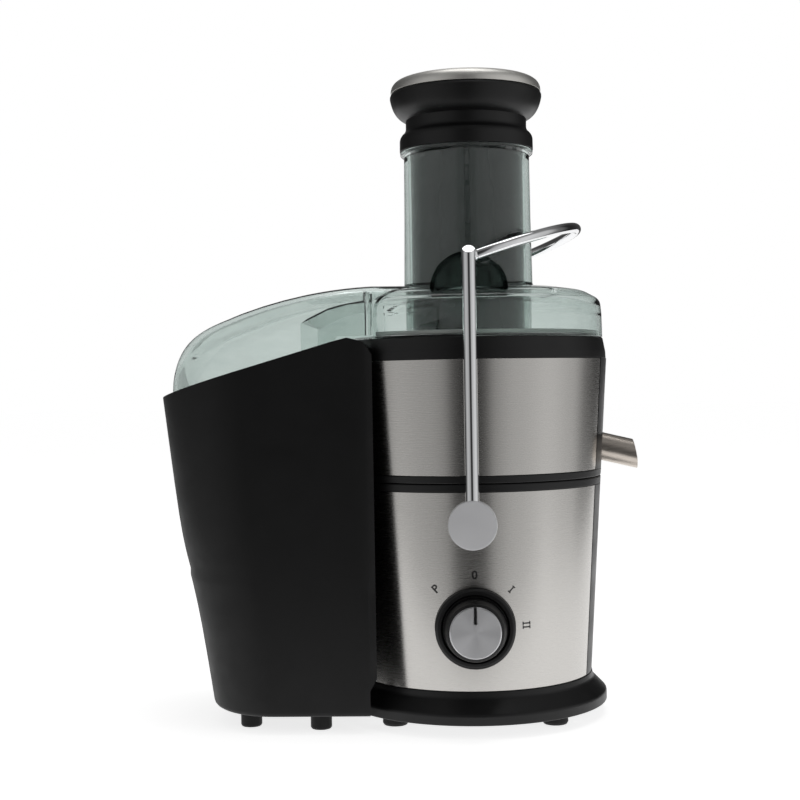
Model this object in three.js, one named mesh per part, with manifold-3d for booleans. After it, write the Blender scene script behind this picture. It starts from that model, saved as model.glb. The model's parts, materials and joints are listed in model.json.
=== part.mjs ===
// Centrifugal juicer, millimetres, +Z up.
// Front (-Y) carries the control knob, the juice spout points to +X, the pulp container stands at -X.
// The origin is on the ground, under the middle of the whole machine.
import * as THREE from 'three';
import { mergeVertices } from 'three/addons/utils/BufferGeometryUtils.js';
import Module from 'manifold-3d';

const wasm = await Module();
wasm.setup();

// ---------------------------------------------------------------- driving dimensions
const GAP = 0.3;                    // clearance between touching pieces
const ROUND = 32;                   // sides of the large turned pieces
const MEDIUM_ROUND = 24;            // sides of the middling ones
const SMALL_ROUND = 16;             // sides of the small turned pieces

const CONTAINER_REACH = 194.2;      // drive axis to the container's outer end
const SPOUT_REACH = 106.2;          // drive axis to the spout's lip
const AXIS_X = (CONTAINER_REACH - SPOUT_REACH) / 2;

const BODY_LOW_Z = 28;              // the drum's skin is a cone through these two values
const BODY_LOW_RADIUS = 74.8;
const BODY_TAPER = 0.0608;          // growth of radius per millimetre of height
const SKIN = 0.6;                   // sheet steel
const BED = SKIN + GAP;             // depth of the recess that the steel sits in
const WALL = 2.5;                   // moulded plastic wall
const SPINE_HALF_ANGLE = 21.5;      // half width of the plastic spine under the spout, degrees

const FOOT_HEIGHT = 8;
const FLANGE_RADIUS = 84.3;
const LOWER_PANEL = [26.2, 145.2];  // lowest and highest edge of each steel skin
const UPPER_PANEL = [154.5, 223.7];
const BASE_TOP = 149.8;
const BOWL_BOTTOM = 150.1;
const BOWL_TOP = 236.6;
const BOWL_FLOOR = 160;
const TOWER_TOP = 178.5;            // centre tower of the bowl
const TOWER_HOLE = 17.5;

const LID_BOTTOM = 236.9;
const LID_RADIUS = 84.6;
const LID_WALL = 2.4;
const TUBE_TOP = 357;
const TUBE_BOTTOM = 202;
const TUBE_BORE = 37.6;

const BAIL_PIVOT_Z = 127.2;
const BAIL_Y = 93;                  // centre plane of each upright
const BAIL_ROD = 4.1;               // radius of the uprights
const LOOP_ROD = 3.2;               // radius of the loop
const BAIL_TOP = 289;
const DISC_RADIUS = 14.3;
const DISC_FACES = [89, 98];        // inner and outer face of a pivot disc, distance from the axis
const LOOP_ROOT = { x: 5, y: 85, z: 284.3 };
const LOOP_LENGTH = 67.4;           // along the tilted plane of the loop
const LOOP_TILT = 18.5;             // degrees

const KNOB_X = 0.7;
const KNOB_Z = 64.6;
const BEZEL_RADIUS = 23.8;
const BEZEL_FACE = 82.5;            // distance of the bezel's face from the axis
const KNOB_FACE = 96;

const SPOUT_ROOT = { x: 80, z: 168.5 };
const SPOUT_SLOPE = 13.5;           // degrees below the horizontal
const SPOUT_RADIUS = 8.8;
const SPOUT_WALL = 0.9;

const CONTAINER_HALF_WIDTH = 73;
const CONTAINER_ARM = 58.5;         // distance of the arms' ends from the axis
const CONTAINER_CORNER = 57;
const CONTAINER_WALL = 2.2;
const CONTAINER_HUG = 89.6;         // radius of the hollow that hugs the drum
const CONTAINER_FLOOR = 10.5;
const RIM_HEIGHT = 259;             // height of the slanted rim's plane above the axis
const RIM_SLOPE = 0.288;

const CHUTE_REACH = 188;
const CHUTE_HALF_WIDTH = 67.5;
const CHUTE_CORNER = 52;

const bodyRadius = (z) => BODY_LOW_RADIUS + BODY_TAPER * (z - BODY_LOW_Z);
const rad = THREE.MathUtils.degToRad;

// ---------------------------------------------------------------- finishes
const FINISHES = {
  matteBlack: { color: 0x1a1a1b, roughness: 0.62, metalness: 0 },
  satinBlack: { color: 0x1d1d1e, roughness: 0.4, metalness: 0 },
  brushedSteel: { color: 0x9a9690, roughness: 0.34, metalness: 1 },
  spoutSteel: { color: 0xb3a595, roughness: 0.3, metalness: 1 },
  chrome: { color: 0xd8d9dc, roughness: 0.06, metalness: 1 },
  satinGrey: { color: 0x9b9da0, roughness: 0.38, metalness: 0.8 },
  smokyClear: { color: 0x9fb0aa, roughness: 0.06, metalness: 0, transparent: true, opacity: 0.35 },
  pusherGrey: { color: 0x3a3a3c, roughness: 0.35, metalness: 0 },
  rubber: { color: 0x151515, roughness: 0.85, metalness: 0 },
  silicone: { color: 0xb9bfbc, roughness: 0.6, metalness: 0 },
  moulding: { color: 0x2a2a2c, roughness: 0.5, metalness: 0 },
  steel: { color: 0xa9a9a8, roughness: 0.3, metalness: 1 },
  lamination: { color: 0x6c6c6c, roughness: 0.5, metalness: 1 },
  copper: { color: 0xb06a3a, roughness: 0.4, metalness: 1 },
  brass: { color: 0xb9974e, roughness: 0.35, metalness: 1 },
  zinc: { color: 0x8d8f90, roughness: 0.45, metalness: 1 },
  board: { color: 0x2f5a3a, roughness: 0.6, metalness: 0 },
  satinMetal: { color: 0xb4b0a8, roughness: 0.35, metalness: 1 },
};

// ---------------------------------------------------------------- solids
function signedVolume(position, index) {
  const [a, b, c] = [new THREE.Vector3(), new THREE.Vector3(), new THREE.Vector3()];
  let volume = 0;
  for (let i = 0; i < index.length; i += 3) {
    a.fromBufferAttribute(position, index[i]);
    b.fromBufferAttribute(position, index[i + 1]);
    c.fromBufferAttribute(position, index[i + 2]);
    volume += a.dot(b.cross(c)) / 6;
  }
  return volume;
}

// A closed geometry as a solid whose faces point out.
function solid(geometry) {
  const bare = geometry.clone();
  bare.deleteAttribute('normal');
  bare.deleteAttribute('uv');
  const merged = mergeVertices(bare, 1e-4);
  const triangles = [];
  const corners = merged.index.array;
  for (let i = 0; i < corners.length; i += 3) {
    const [a, b, c] = [corners[i], corners[i + 1], corners[i + 2]];
    if (a !== b && b !== c && c !== a) {
      triangles.push(a, b, c);
    }
  }
  if (signedVolume(merged.attributes.position, triangles) < 0) {
    triangles.reverse();
  }
  return new wasm.Manifold(new wasm.Mesh({
    numProp: 3,
    vertProperties: new Float32Array(merged.attributes.position.array),
    triVerts: new Uint32Array(triangles),
  }));
}

function profilePoints(points) {
  const closed = points.map(([r, h]) => new THREE.Vector2(r, h));
  if (points[0][0] !== 0 || points[points.length - 1][0] !== 0) {
    closed.push(closed[0].clone());
  }
  return closed;
}

// Turned about the vertical axis: points are [radius, height].
function turned(points, sides = ROUND) {
  return solid(new THREE.LatheGeometry(profilePoints(points), sides).rotateX(Math.PI / 2));
}

// Turned about the Y axis: points are [radius, y].
function turnedAcross(points, sides = SMALL_ROUND) {
  return solid(new THREE.LatheGeometry(profilePoints(points), sides));
}

// A straight round bar between two points.
function bar(from, to, radius, sides = 12) {
  const start = new THREE.Vector3(...from);
  const along = new THREE.Vector3(...to).sub(start);
  const geometry = new THREE.CylinderGeometry(radius, radius, along.length(), sides);
  geometry.translate(0, along.length() / 2, 0);
  const turn = new THREE.Quaternion().setFromUnitVectors(new THREE.Vector3(0, 1, 0), along.normalize());
  geometry.applyQuaternion(turn);
  geometry.translate(start.x, start.y, start.z);
  return solid(geometry);
}

// A box between its lowest and highest corner.
function block(low, high) {
  const geometry = new THREE.BoxGeometry(high[0] - low[0], high[1] - low[1], high[2] - low[2]);
  geometry.translate((low[0] + high[0]) / 2, (low[1] + high[1]) / 2, (low[2] + high[2]) / 2);
  return solid(geometry);
}

// An outline in plan, raised between two heights.
function raised(shape, low, high, curveSegments = 12) {
  const options = { depth: high - low, bevelEnabled: false, curveSegments };
  const geometry = new THREE.ExtrudeGeometry(shape, options);
  geometry.translate(0, 0, low);
  return solid(geometry);
}

// An outline in the XZ plane, carried across from one y to another.
function carried(shape, fromY, toY, curveSegments = 12) {
  const options = { depth: toY - fromY, bevelEnabled: false, curveSegments };
  const geometry = new THREE.ExtrudeGeometry(shape, options);
  geometry.rotateX(Math.PI / 2);
  geometry.translate(0, toY, 0);
  return solid(geometry);
}

function outline(points) {
  return new THREE.Shape(points.map(([x, y]) => new THREE.Vector2(x, y)));
}

function rectangle(low, high) {
  return outline([[low[0], low[1]], [high[0], low[1]], [high[0], high[1]], [low[0], high[1]]]);
}

function polygon(radius, sides) {
  const step = 2 * Math.PI / sides;
  const corner = (_, i) => [radius * Math.cos(i * step), radius * Math.sin(i * step)];
  return outline(Array.from({ length: sides }, corner));
}

function join(...solids) {
  return solids.reduce((whole, next) => whole.add(next));
}

const juicer = new THREE.Group();
juicer.position.x = AXIS_X;

function piece(name, body, finish) {
  const made = body.getMesh();
  const geometry = new THREE.BufferGeometry();
  geometry.setAttribute('position', new THREE.BufferAttribute(new Float32Array(made.vertProperties), 3));
  geometry.setIndex(new THREE.BufferAttribute(new Uint32Array(made.triVerts), 1));
  geometry.computeVertexNormals();
  const mesh = new THREE.Mesh(geometry, new THREE.MeshStandardMaterial(FINISHES[finish]));
  mesh.name = name;
  juicer.add(mesh);
}

// A wedge about the drive axis, facing +X, for the plastic spine and the gap in the steel skins.
function spineWedge(halfAngle, low, high) {
  const reach = 120;
  const half = reach * Math.tan(rad(halfAngle));
  return raised(outline([[0, 0], [reach, -half], [reach, half]]), low, high);
}

// ---------------------------------------------------------------- skins
// Plastic that stands out between the ends of a steel skin.
function spine([low, high]) {
  const ring = turned([
    [bodyRadius(low) - BED - 1, low],
    [bodyRadius(low) + 0.2, low],
    [bodyRadius(high) + 0.2, high],
    [bodyRadius(high) - BED - 1, high],
  ]);
  return ring.intersect(spineWedge(SPINE_HALF_ANGLE - 0.3, low, high));
}

function steelSkin([low, high]) {
  const [bottom, top] = [low + GAP, high - GAP];
  const ring = turned([
    [bodyRadius(bottom) - SKIN, bottom],
    [bodyRadius(bottom), bottom],
    [bodyRadius(top), top],
    [bodyRadius(top) - SKIN, top],
  ]);
  return ring.subtract(spineWedge(SPINE_HALF_ANGLE, low, high));
}

// ---------------------------------------------------------------- motor base
const BEZEL_HOLE = () => turnedAcross([
  [0, -100], [BEZEL_RADIUS + GAP, -100], [BEZEL_RADIUS + GAP, -60], [0, -60],
], MEDIUM_ROUND).translate([KNOB_X, 0, KNOB_Z]);
const PIVOT_SHAFT = 4.5;            // radius of the bail's pins where they pass the housing
const GLAND = { z: 45, radius: 6, bore: 3.2, flange: 9, flangeBack: 68.5, seat: 70.5, neck: 78, end: 81, nose: 5 };
const REAR_WALL = [60, 90];         // span of the cutter for the gland's hole

function pivotHoles(radius) {
  return bar([0, -100, BAIL_PIVOT_Z], [0, 100, BAIL_PIVOT_Z], radius, SMALL_ROUND);
}

// the holes that the moulded base and its steel skin share
function baseOpenings() {
  const [near, far] = REAR_WALL;
  const glandHole = bar([0, near, GLAND.z], [0, far, GLAND.z], GLAND.radius + GAP, SMALL_ROUND);
  return join(BEZEL_HOLE(), pivotHoles(PIVOT_SHAFT + GAP), glandHole);
}

function baseShell() {
  const [low, high] = LOWER_PANEL;
  const inside = BED + WALL;
  const shell = turned([
    [80.6, FOOT_HEIGHT],
    [FLANGE_RADIUS, FOOT_HEIGHT],
    [FLANGE_RADIUS, 13],
    [75.9, 23.3],
    [75.2, low],
    [bodyRadius(low) - BED, low],
    [bodyRadius(high) - BED, high],
    [bodyRadius(high) + 0.25, high],
    [82.4, BASE_TOP],
    [77.6, BASE_TOP],
    [77.2, 147.6],
    [15, 147.6],
    [15, 144.8],
    [75, 144.8],
    [bodyRadius(low) - inside, low - 1.7],
    [80.6, 12],
  ]);
  piece('base_shell', shell.add(spine(LOWER_PANEL)).subtract(baseOpenings()), 'satinBlack');
}

function lowerSteelPanel() {
  piece('lower_steel_panel', steelSkin(LOWER_PANEL).subtract(baseOpenings()), 'brushedSteel');
}

const PLATE = { radius: 80.2, low: 8.4, high: 11.2, foot: { x: 49, y: 42.5, radius: 8 } };
const PLATE_SCREW = { ring: 72, shank: 1.6, head: 3.2 };

function corners(callback) {
  for (const [end, sy] of [['front', -1], ['rear', 1]]) {
    for (const [side, sx] of [['left', -1], ['right', 1]]) {
      callback(`${end}_${side}`, sx, sy);
    }
  }
}

function basePlate() {
  const { radius, low, high, foot } = PLATE;
  let plate = turned([[0, low], [radius, low], [radius, high], [0, high]]);
  for (let i = -2; i <= 2; i += 1) {
    plate = plate.subtract(block([-24, i * 10 - 2, low - 1], [24, i * 10 + 2, high + 1]));
  }
  corners((where, sx, sy) => {
    const at = PLATE_SCREW.ring / Math.SQRT2;
    const [x, y] = [sx * at * 1.2, sy * at * 0.75];
    const hole = bar([x, y, low - 1], [x, y, high + 1], PLATE_SCREW.shank + GAP, 12);
    plate = plate.subtract(hole);
    const screw = join(
      bar([x, y, low - GAP - 2], [x, y, low - GAP], PLATE_SCREW.head, 12),
      bar([x, y, low - GAP - 1], [x, y, high + 8], PLATE_SCREW.shank, 12),
    );
    piece(`plate_screw_${where}`, screw, 'steel');
    const [fx, fy] = [sx * foot.x, sy * foot.y];
    const pad = turned([
      [0, 0],
      [foot.radius - 1, 0],
      [foot.radius, 1.2],
      [foot.radius - 0.6, low - GAP],
      [0, low - GAP],
    ], SMALL_ROUND).translate([fx, fy, 0]);
    piece(`base_foot_${where}`, pad, 'rubber');
  });
  piece('base_plate', plate, 'moulding');
}

function cordGland() {
  const gland = turnedAcross([
    [GLAND.bore, GLAND.flangeBack],
    [GLAND.flange, GLAND.flangeBack],
    [GLAND.flange, GLAND.seat],
    [GLAND.radius, GLAND.seat],
    [GLAND.radius, GLAND.neck],
    [GLAND.nose, GLAND.end],
    [GLAND.bore, GLAND.end],
  ]).translate([0, 0, GLAND.z]);
  piece('cord_gland', gland, 'rubber');
}

// ---------------------------------------------------------------- controls
const SWITCH_SHAFT = 3;
const BEZEL = { recess: 19.4, recessDepth: 2.2, back: 69.5, wall: 2.5 };

function controls() {
  const bezel = turnedAcross([
    [SWITCH_SHAFT + 1, -BEZEL.back],
    [BEZEL_RADIUS, -BEZEL.back],
    [BEZEL_RADIUS, -BEZEL_FACE + 1.6],
    [BEZEL_RADIUS - 1.6, -BEZEL_FACE],
    [BEZEL.recess + 0.6, -BEZEL_FACE],
    [BEZEL.recess, -BEZEL_FACE + BEZEL.recessDepth],
    [SWITCH_SHAFT + 1, -BEZEL_FACE + BEZEL.recessDepth],
  ], MEDIUM_ROUND).translate([KNOB_X, 0, KNOB_Z]);
  piece('escutcheon', bezel, 'satinBlack');

  const base = -BEZEL_FACE + BEZEL.recessDepth - GAP;
  const knob = turnedAcross([
    [SWITCH_SHAFT + GAP, base],
    [18.5, base],
    [18.3, -KNOB_FACE + 8],
    [16.8, -KNOB_FACE + 1.6],
    [15.3, -KNOB_FACE + 0.8],
    [15.3, -KNOB_FACE + 2],
    [0, -KNOB_FACE + 2],
    [0, -KNOB_FACE + 5],
    [SWITCH_SHAFT + GAP, -KNOB_FACE + 5],
  ], MEDIUM_ROUND).translate([KNOB_X, 0, KNOB_Z]);
  piece('control_knob', knob, 'satinBlack');

  const slot = { halfWidth: 0.9, low: 5.2, high: 14.9, depth: 1.2 };
  const faceBack = -KNOB_FACE + 2 - GAP;
  const face = turnedAcross([
    [0, faceBack],
    [15, faceBack],
    [15, -KNOB_FACE + 0.4],
    [14.6, -KNOB_FACE],
    [0, -KNOB_FACE],
  ], MEDIUM_ROUND).subtract(block(
    [-slot.halfWidth - GAP, -KNOB_FACE - 1, slot.low - GAP],
    [slot.halfWidth + GAP, -KNOB_FACE + slot.depth + GAP, slot.high + 2],
  )).translate([KNOB_X, 0, KNOB_Z]);
  piece('knob_face', face, 'steel');

  const pointer = block(
    [-slot.halfWidth, -KNOB_FACE + 0.1, slot.low],
    [slot.halfWidth, -KNOB_FACE + slot.depth, slot.high - 0.4],
  );
  piece('knob_pointer', pointer.translate([KNOB_X, 0, KNOB_Z]), 'satinBlack');

  const shaft = turnedAcross([
    [0, -KNOB_FACE + 5.4], [SWITCH_SHAFT, -KNOB_FACE + 5.4], [SWITCH_SHAFT, -58], [0, -58],
  ])
    .translate([KNOB_X, 0, KNOB_Z]);
  piece('switch_shaft', shaft, 'steel');

  const housing = block([KNOB_X - 13, -BEZEL.back + GAP, KNOB_Z - 13], [KNOB_X + 13, -54, KNOB_Z + 13])
    .subtract(bar([KNOB_X, -80, KNOB_Z], [KNOB_X, -57, KNOB_Z], SWITCH_SHAFT + GAP));
  piece('rotary_switch', housing, 'moulding');
}

// ---------------------------------------------------------------- motor
const STACK = { low: 58, high: 98, x: 42, y: 36 };
const COIL = { innerX: 18, outerX: 25, low: 50, high: 106, near: 22, far: 31 };
const SHAFT_RADIUS = 4;
const BEARING = { bore: SHAFT_RADIUS + GAP, radius: 11 };
const ROTOR_ROOM = { radius: 20, low: 50, high: 110 };   // bore of the stack, and the span of its cutters
const COIL_ROOM = 0.5;              // clearance round each leg of a winding
const BRIDGE = 7;                   // height of a winding's end turns
const FAN = { low: 108, disc: 1.6, high: 117, hub: 9, radius: 34, blade: 0.8 };
const MOUNT = { x: 35, low: 123.3, high: 144.5, radius: 6 };
const BRUSH = { near: 11.4, far: 30, halfWidth: 4, low: 36.3, high: 47 };

function stator() {
  const shape = outline([
    [-STACK.x, -STACK.y + 8], [-STACK.x + 8, -STACK.y], [STACK.x - 8, -STACK.y], [STACK.x, -STACK.y + 8],
    [STACK.x, STACK.y - 8], [STACK.x - 8, STACK.y], [-STACK.x + 8, STACK.y], [-STACK.x, STACK.y - 8],
  ]);
  let stack = raised(shape, STACK.low, STACK.high);
  const { radius, low, high } = ROTOR_ROOM;
  stack = stack.subtract(turned([[0, low], [radius, low], [radius, high], [0, high]], 32));
  for (const sx of [-1, 1]) {
    for (const sy of [-1, 1]) {
      const [x1, x2] = [sx * (COIL.innerX - COIL_ROOM), sx * (COIL.outerX + COIL_ROOM)].sort((a, b) => a - b);
      const [y1, y2] = [sy * (COIL.near - COIL_ROOM), sy * (COIL.far + COIL_ROOM)].sort((a, b) => a - b);
      stack = stack.subtract(block([x1, y1, low], [x2, y2, high]));
    }
  }
  piece('motor_stator', stack, 'lamination');
  for (const [name, y1, y2] of [
    ['field_winding_front', -COIL.far, -COIL.near],
    ['field_winding_rear', COIL.near, COIL.far],
  ]) {
    const shape2 = rectangle([-COIL.outerX, COIL.low], [COIL.outerX, COIL.high]);
    shape2.holes.push(rectangle([-COIL.innerX, COIL.low + BRIDGE], [COIL.innerX, COIL.high - BRIDGE]));
    piece(name, carried(shape2, y1, y2), 'copper');
  }
}

function rotor() {
  let core = turned([
    [SHAFT_RADIUS + GAP, 53.5],
    [13, 53.5],
    [15.5, 56],
    [15.5, 60],
    [19.2, 60],
    [19.2, 96],
    [15.5, 96],
    [15.5, 101],
    [13, 103.5],
    [SHAFT_RADIUS + GAP, 103.5],
  ], SMALL_ROUND);
  const slots = 8;
  for (let i = 0; i < slots; i += 1) {
    const slot = block([17, -0.9, 59], [21, 0.9, 97]).rotate([0, 0, (i + 0.5) * 360 / slots]);
    core = core.subtract(slot);
  }
  piece('armature', core, 'lamination');
  const shaft = turned([[0, 24], [SHAFT_RADIUS, 24], [SHAFT_RADIUS, 176], [0, 176]], SMALL_ROUND);
  piece('motor_shaft', shaft, 'steel');
  piece('commutator', turned([
    [SHAFT_RADIUS + GAP, 38],
    [11, 38],
    [11, 50],
    [12.2, 50.3],
    [12.2, 51.8],
    [SHAFT_RADIUS + GAP, 51.8],
  ], SMALL_ROUND), 'copper');

  const blades = 9;
  let fan = turned([
    [SHAFT_RADIUS + GAP, FAN.low],
    [FAN.radius, FAN.low],
    [FAN.radius, FAN.low + FAN.disc],
    [FAN.hub, FAN.low + FAN.disc],
    [FAN.hub, FAN.high],
    [SHAFT_RADIUS + GAP, FAN.high],
  ], SMALL_ROUND);
  for (let i = 0; i < blades; i += 1) {
    const blade = block([FAN.hub - 0.5, -FAN.blade, FAN.low + 1], [FAN.radius - 1, FAN.blade, FAN.high]);
    fan = fan.add(blade.rotate([0, 0, i * 360 / blades]));
  }
  piece('cooling_fan', fan, 'moulding');

  const teeth = 6;
  let driver = turned([
    [0, 178],
    [SHAFT_RADIUS + GAP, 176.4],
    [SHAFT_RADIUS + GAP, 150.5],
    [11, 150.5],
    [11.5, 153],
    [11.5, 185],
    [9.5, 187],
    [0, 187],
  ], SMALL_ROUND);
  for (let i = 0; i < teeth; i += 1) {
    driver = driver.add(block([10, -1.8, 164], [13.2, 1.8, 186]).rotate([0, 0, i * 360 / teeth]));
  }
  piece('drive_coupling', driver, 'moulding');
}

function motorMounting() {
  for (const [name, low, high] of [['bearing_lower', 28.3, 35.3], ['bearing_upper', 123.3, 130.3]]) {
    piece(name, turned([
      [BEARING.bore, low],
      [BEARING.radius, low],
      [BEARING.radius, high],
      [BEARING.bore, high],
    ], SMALL_ROUND), 'steel');
  }
  const pocket = (low, high) => turned([
    [BEARING.radius + GAP, low],
    [15, low],
    [15, high],
    [BEARING.radius + GAP, high],
  ], SMALL_ROUND);
  const fit = BEARING.radius + GAP;
  const seat = (low, high) => turned([[0, low], [fit, low], [fit, high], [0, high]], SMALL_ROUND);
  const shaftHole = (low, high) => turned([[0, low], [6, low], [6, high], [0, high]], SMALL_ROUND);
  const legs = (low, high) => join(
    block([-STACK.x, -14, low], [-37.5, 14, high]),
    block([37.5, -14, low], [STACK.x, 14, high]),
  );
  const upper = join(block([-STACK.x, -14, 119.5], [STACK.x, 14, 123]), pocket(119.5, 131), legs(98.3, 121))
    .subtract(shaftHole(118, 132))
    .subtract(seat(123, 132));
  piece('motor_bracket_upper', upper, 'zinc');
  const lower = join(block([-STACK.x, -14, 30], [STACK.x, 14, 34]), pocket(26, 35.6), legs(32, 57.7))
    .add(turned([[0, 26], [15, 26], [15, 28], [0, 28]], SMALL_ROUND))
    .subtract(seat(28, 36))
    .subtract(shaftHole(20, 40));
  piece('motor_bracket_lower', lower, 'zinc');
  for (const [side, sx] of [['left', -1], ['right', 1]]) {
    const post = bar([sx * MOUNT.x, 0, MOUNT.low], [sx * MOUNT.x, 0, MOUNT.high], MOUNT.radius);
    piece(`motor_mount_${side}`, post, 'rubber');
    const [x1, x2] = [sx * BRUSH.near, sx * BRUSH.far].sort((a, b) => a - b);
    const holder = block([x1, -BRUSH.halfWidth, BRUSH.low], [x2, BRUSH.halfWidth, BRUSH.high]);
    piece(`brush_holder_${side}`, holder, 'brass');
  }
}

function electronics() {
  const board = join(
    block([-28, 57.4, 62], [28, 59, 108]),
    block([-20, 45, 70], [-4, 58, 84]),
    block([6, 48, 68], [20, 58, 88]),
    bar([12, 44, 98], [12, 58, 98], 5, 12),
  );
  piece('speed_control_board', board, 'board');
}

// ---------------------------------------------------------------- safety interlock
const CAM = { radius: 9, small: 6.5, lift: 1, sweep: 1.9, front: -67.6, back: -63 };

function interlock() {
  const shape = new THREE.Shape();
  const steps = 14;
  shape.moveTo(0, -CAM.radius);
  for (let i = 1; i <= steps; i += 1) {
    const angle = i / steps * CAM.sweep;
    const reach = CAM.radius - CAM.lift * angle;
    shape.lineTo(reach * Math.sin(angle), -reach * Math.cos(angle));
  }
  shape.lineTo(CAM.small * 0.5, CAM.small * 0.85);
  shape.lineTo(-CAM.small * 0.5, CAM.small * 0.85);
  shape.lineTo(-CAM.small, 0);
  shape.lineTo(-CAM.small, -CAM.radius * 0.7);
  const cam = carried(shape, CAM.front, CAM.back).translate([0, 0, BAIL_PIVOT_Z])
    .subtract(bar([0, CAM.front - 1, BAIL_PIVOT_Z], [0, CAM.back + 1, BAIL_PIVOT_Z], PIVOT_SHAFT + GAP));
  piece('interlock_cam', cam, 'silicone');
  const [top, bottom] = [BAIL_PIVOT_Z - CAM.radius - GAP, 104];
  const middle = (CAM.front + CAM.back) / 2;
  piece('interlock_plunger', bar([0, middle, bottom], [0, middle, top], 2, 12), 'silicone');
  const housing = block([-10, CAM.front - 1.4, 96], [10, CAM.back + 5, 110])
    .subtract(bar([0, middle, 102], [0, middle, 112], 2 + GAP, 12));
  piece('interlock_switch', housing, 'moulding');
}

// ---------------------------------------------------------------- juicing head
function spoutSolid(radius, fromX, toX) {
  const slope = Math.tan(rad(SPOUT_SLOPE));
  const height = (x) => SPOUT_ROOT.z - (x - SPOUT_ROOT.x) * slope;
  return bar([fromX, 0, height(fromX)], [toX, 0, height(toX)], radius, SMALL_ROUND);
}

const BOWL_RIM = { inner: 78.9, outer: 80.9, top: 238.2 };   // stands up inside the lid
const PULP_GATE = 58;               // half width of the break in that rim, under the chute

// The room left in the rim and in its gasket, so that pulp slides straight across.
function pulpGate() {
  return block([-95, -PULP_GATE, BOWL_TOP], [-50, PULP_GATE, BOWL_RIM.top + 5]);
}

function juiceCollector() {
  const [low, high] = UPPER_PANEL;
  // The floor, with its tower round the drive, is let into the foot of the wall.
  const floorEdge = 76.1;
  const bowl = turned([
    [floorEdge + GAP, BOWL_FLOOR - WALL],
    [78, BOWL_BOTTOM],
    [82.4, BOWL_BOTTOM],
    [82.7, low],
    [bodyRadius(low) - BED, low],
    [bodyRadius(high) - BED, high],
    [86.6, high],
    [86.2, 229],
    [84.7, BOWL_TOP],
    [81.7, BOWL_TOP],
    [BOWL_RIM.outer, BOWL_RIM.top],
    [BOWL_RIM.inner, BOWL_RIM.top],
    [floorEdge + GAP, BOWL_FLOOR],
  ]).subtract(pulpGate());
  piece('bowl_floor', turned([
    [33, BOWL_FLOOR - WALL],
    [floorEdge, BOWL_FLOOR - WALL],
    [floorEdge, BOWL_FLOOR],
    [36, BOWL_FLOOR],
    [26.5, TOWER_TOP],
    [TOWER_HOLE, TOWER_TOP],
    [TOWER_HOLE, 176],
    [23.5, 176],
  ]), 'satinBlack');
  const outlet = spoutSolid(SPOUT_RADIUS + GAP, 70, 100);
  piece('juice_collector', bowl.add(spine(UPPER_PANEL)).subtract(outlet), 'satinBlack');
  piece('upper_steel_panel', steelSkin(UPPER_PANEL), 'brushedSteel');

  const lip = outline([
    [60, 120], [106.2, 120], [106.2, 152], [105.4, 160], [103.2, 172.6], [102, 190], [60, 190],
  ]);
  const tube = spoutSolid(SPOUT_RADIUS, 75, 115)
    .subtract(spoutSolid(SPOUT_RADIUS - SPOUT_WALL, 70, 120))
    .intersect(carried(lip, -20, 20));
  piece('spout', tube, 'spoutSteel');
  const seal = turned([[14.2, 175.6], [17.2, 175.6], [17.2, 178.9], [14.2, 178.9]], SMALL_ROUND);
  piece('shaft_seal', seal, 'rubber');
}

const SIEVE = { floor: 189.5, floorRadius: 52, rim: 238.6, rimRadius: 73, lip: 76, sheet: 0.8 };

function sieve() {
  const { floor, floorRadius, rim, rimRadius, lip, sheet } = SIEVE;
  const basket = turned([
    [14, floor],
    [floorRadius, floor],
    [rimRadius, rim - 2],
    [lip, rim - 2],
    [lip, rim],
    [rimRadius - 1.6, rim],
    [floorRadius - 0.7, floor + sheet],
    [14, floor + sheet],
  ], MEDIUM_ROUND);
  piece('filter_basket', basket, 'steel');
  const socket = 14;
  const hub = turned([
    [socket, 180], [24, 180], [24, floor - GAP], [0, floor - GAP], [0, 187.4], [socket, 187.4],
  ], SMALL_ROUND);
  piece('basket_hub', hub, 'moulding');

  const disc = { low: floor + sheet + GAP, radius: 46, thickness: 1.2 };
  let grater = turned([[0, disc.low], [disc.radius, disc.low], [disc.radius, disc.low + disc.thickness],
    [0, disc.low + disc.thickness]], SMALL_ROUND);
  for (const [ring, count] of [[18, 6], [28, 9], [38, 12]]) {
    for (let i = 0; i < count; i += 1) {
      const tooth = solid(new THREE.ConeGeometry(1.6, 2.2, 4).rotateX(Math.PI / 2))
        .translate([ring, 0, disc.low + disc.thickness + 0.9])
        .rotate([0, 0, (i + ring / 8) * 360 / count]);
      grater = grater.add(tooth);
    }
  }
  piece('grater_disc', grater, 'steel');
}

// ---------------------------------------------------------------- lid
const HUMP = { z: 264.6, radius: 23.2, front: 72, split: 61.5, root: 36 };

function chutePlan(inset) {
  const side = CHUTE_HALF_WIDTH - inset;
  const tip = -CHUTE_REACH + inset;
  const corner = CHUTE_CORNER - inset;
  const shape = new THREE.Shape();
  shape.moveTo(-30, -57 + inset);
  shape.lineTo(-58, -60.5 + inset);
  shape.quadraticCurveTo(-76, -side, -100, -side);
  shape.lineTo(tip + corner, -side);
  shape.absarc(tip + corner, -side + corner, corner, -Math.PI / 2, -Math.PI, true);
  shape.absarc(tip + corner, side - corner, corner, Math.PI, Math.PI / 2, true);
  shape.lineTo(-100, side);
  shape.quadraticCurveTo(-76, side, -58, 60.5 - inset);
  shape.lineTo(-30, 57 - inset);
  return shape;
}

function chuteSolid(inset) {
  const drop = inset;
  const roof = new THREE.Shape();
  roof.moveTo(-30, 180);
  roof.lineTo(-30, 269 - drop);
  roof.lineTo(-60, 269 - drop);
  roof.quadraticCurveTo(-108, 265.5 - drop, -145, 250.5 - drop);
  roof.bezierCurveTo(-165, 243.5 - drop, -CHUTE_REACH + inset, 235 - drop, -CHUTE_REACH + inset, 205);
  roof.lineTo(-CHUTE_REACH + inset, 180);
  return raised(chutePlan(inset), 180, 290, 3).intersect(carried(roof, -80, 80, 4));
}

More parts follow.
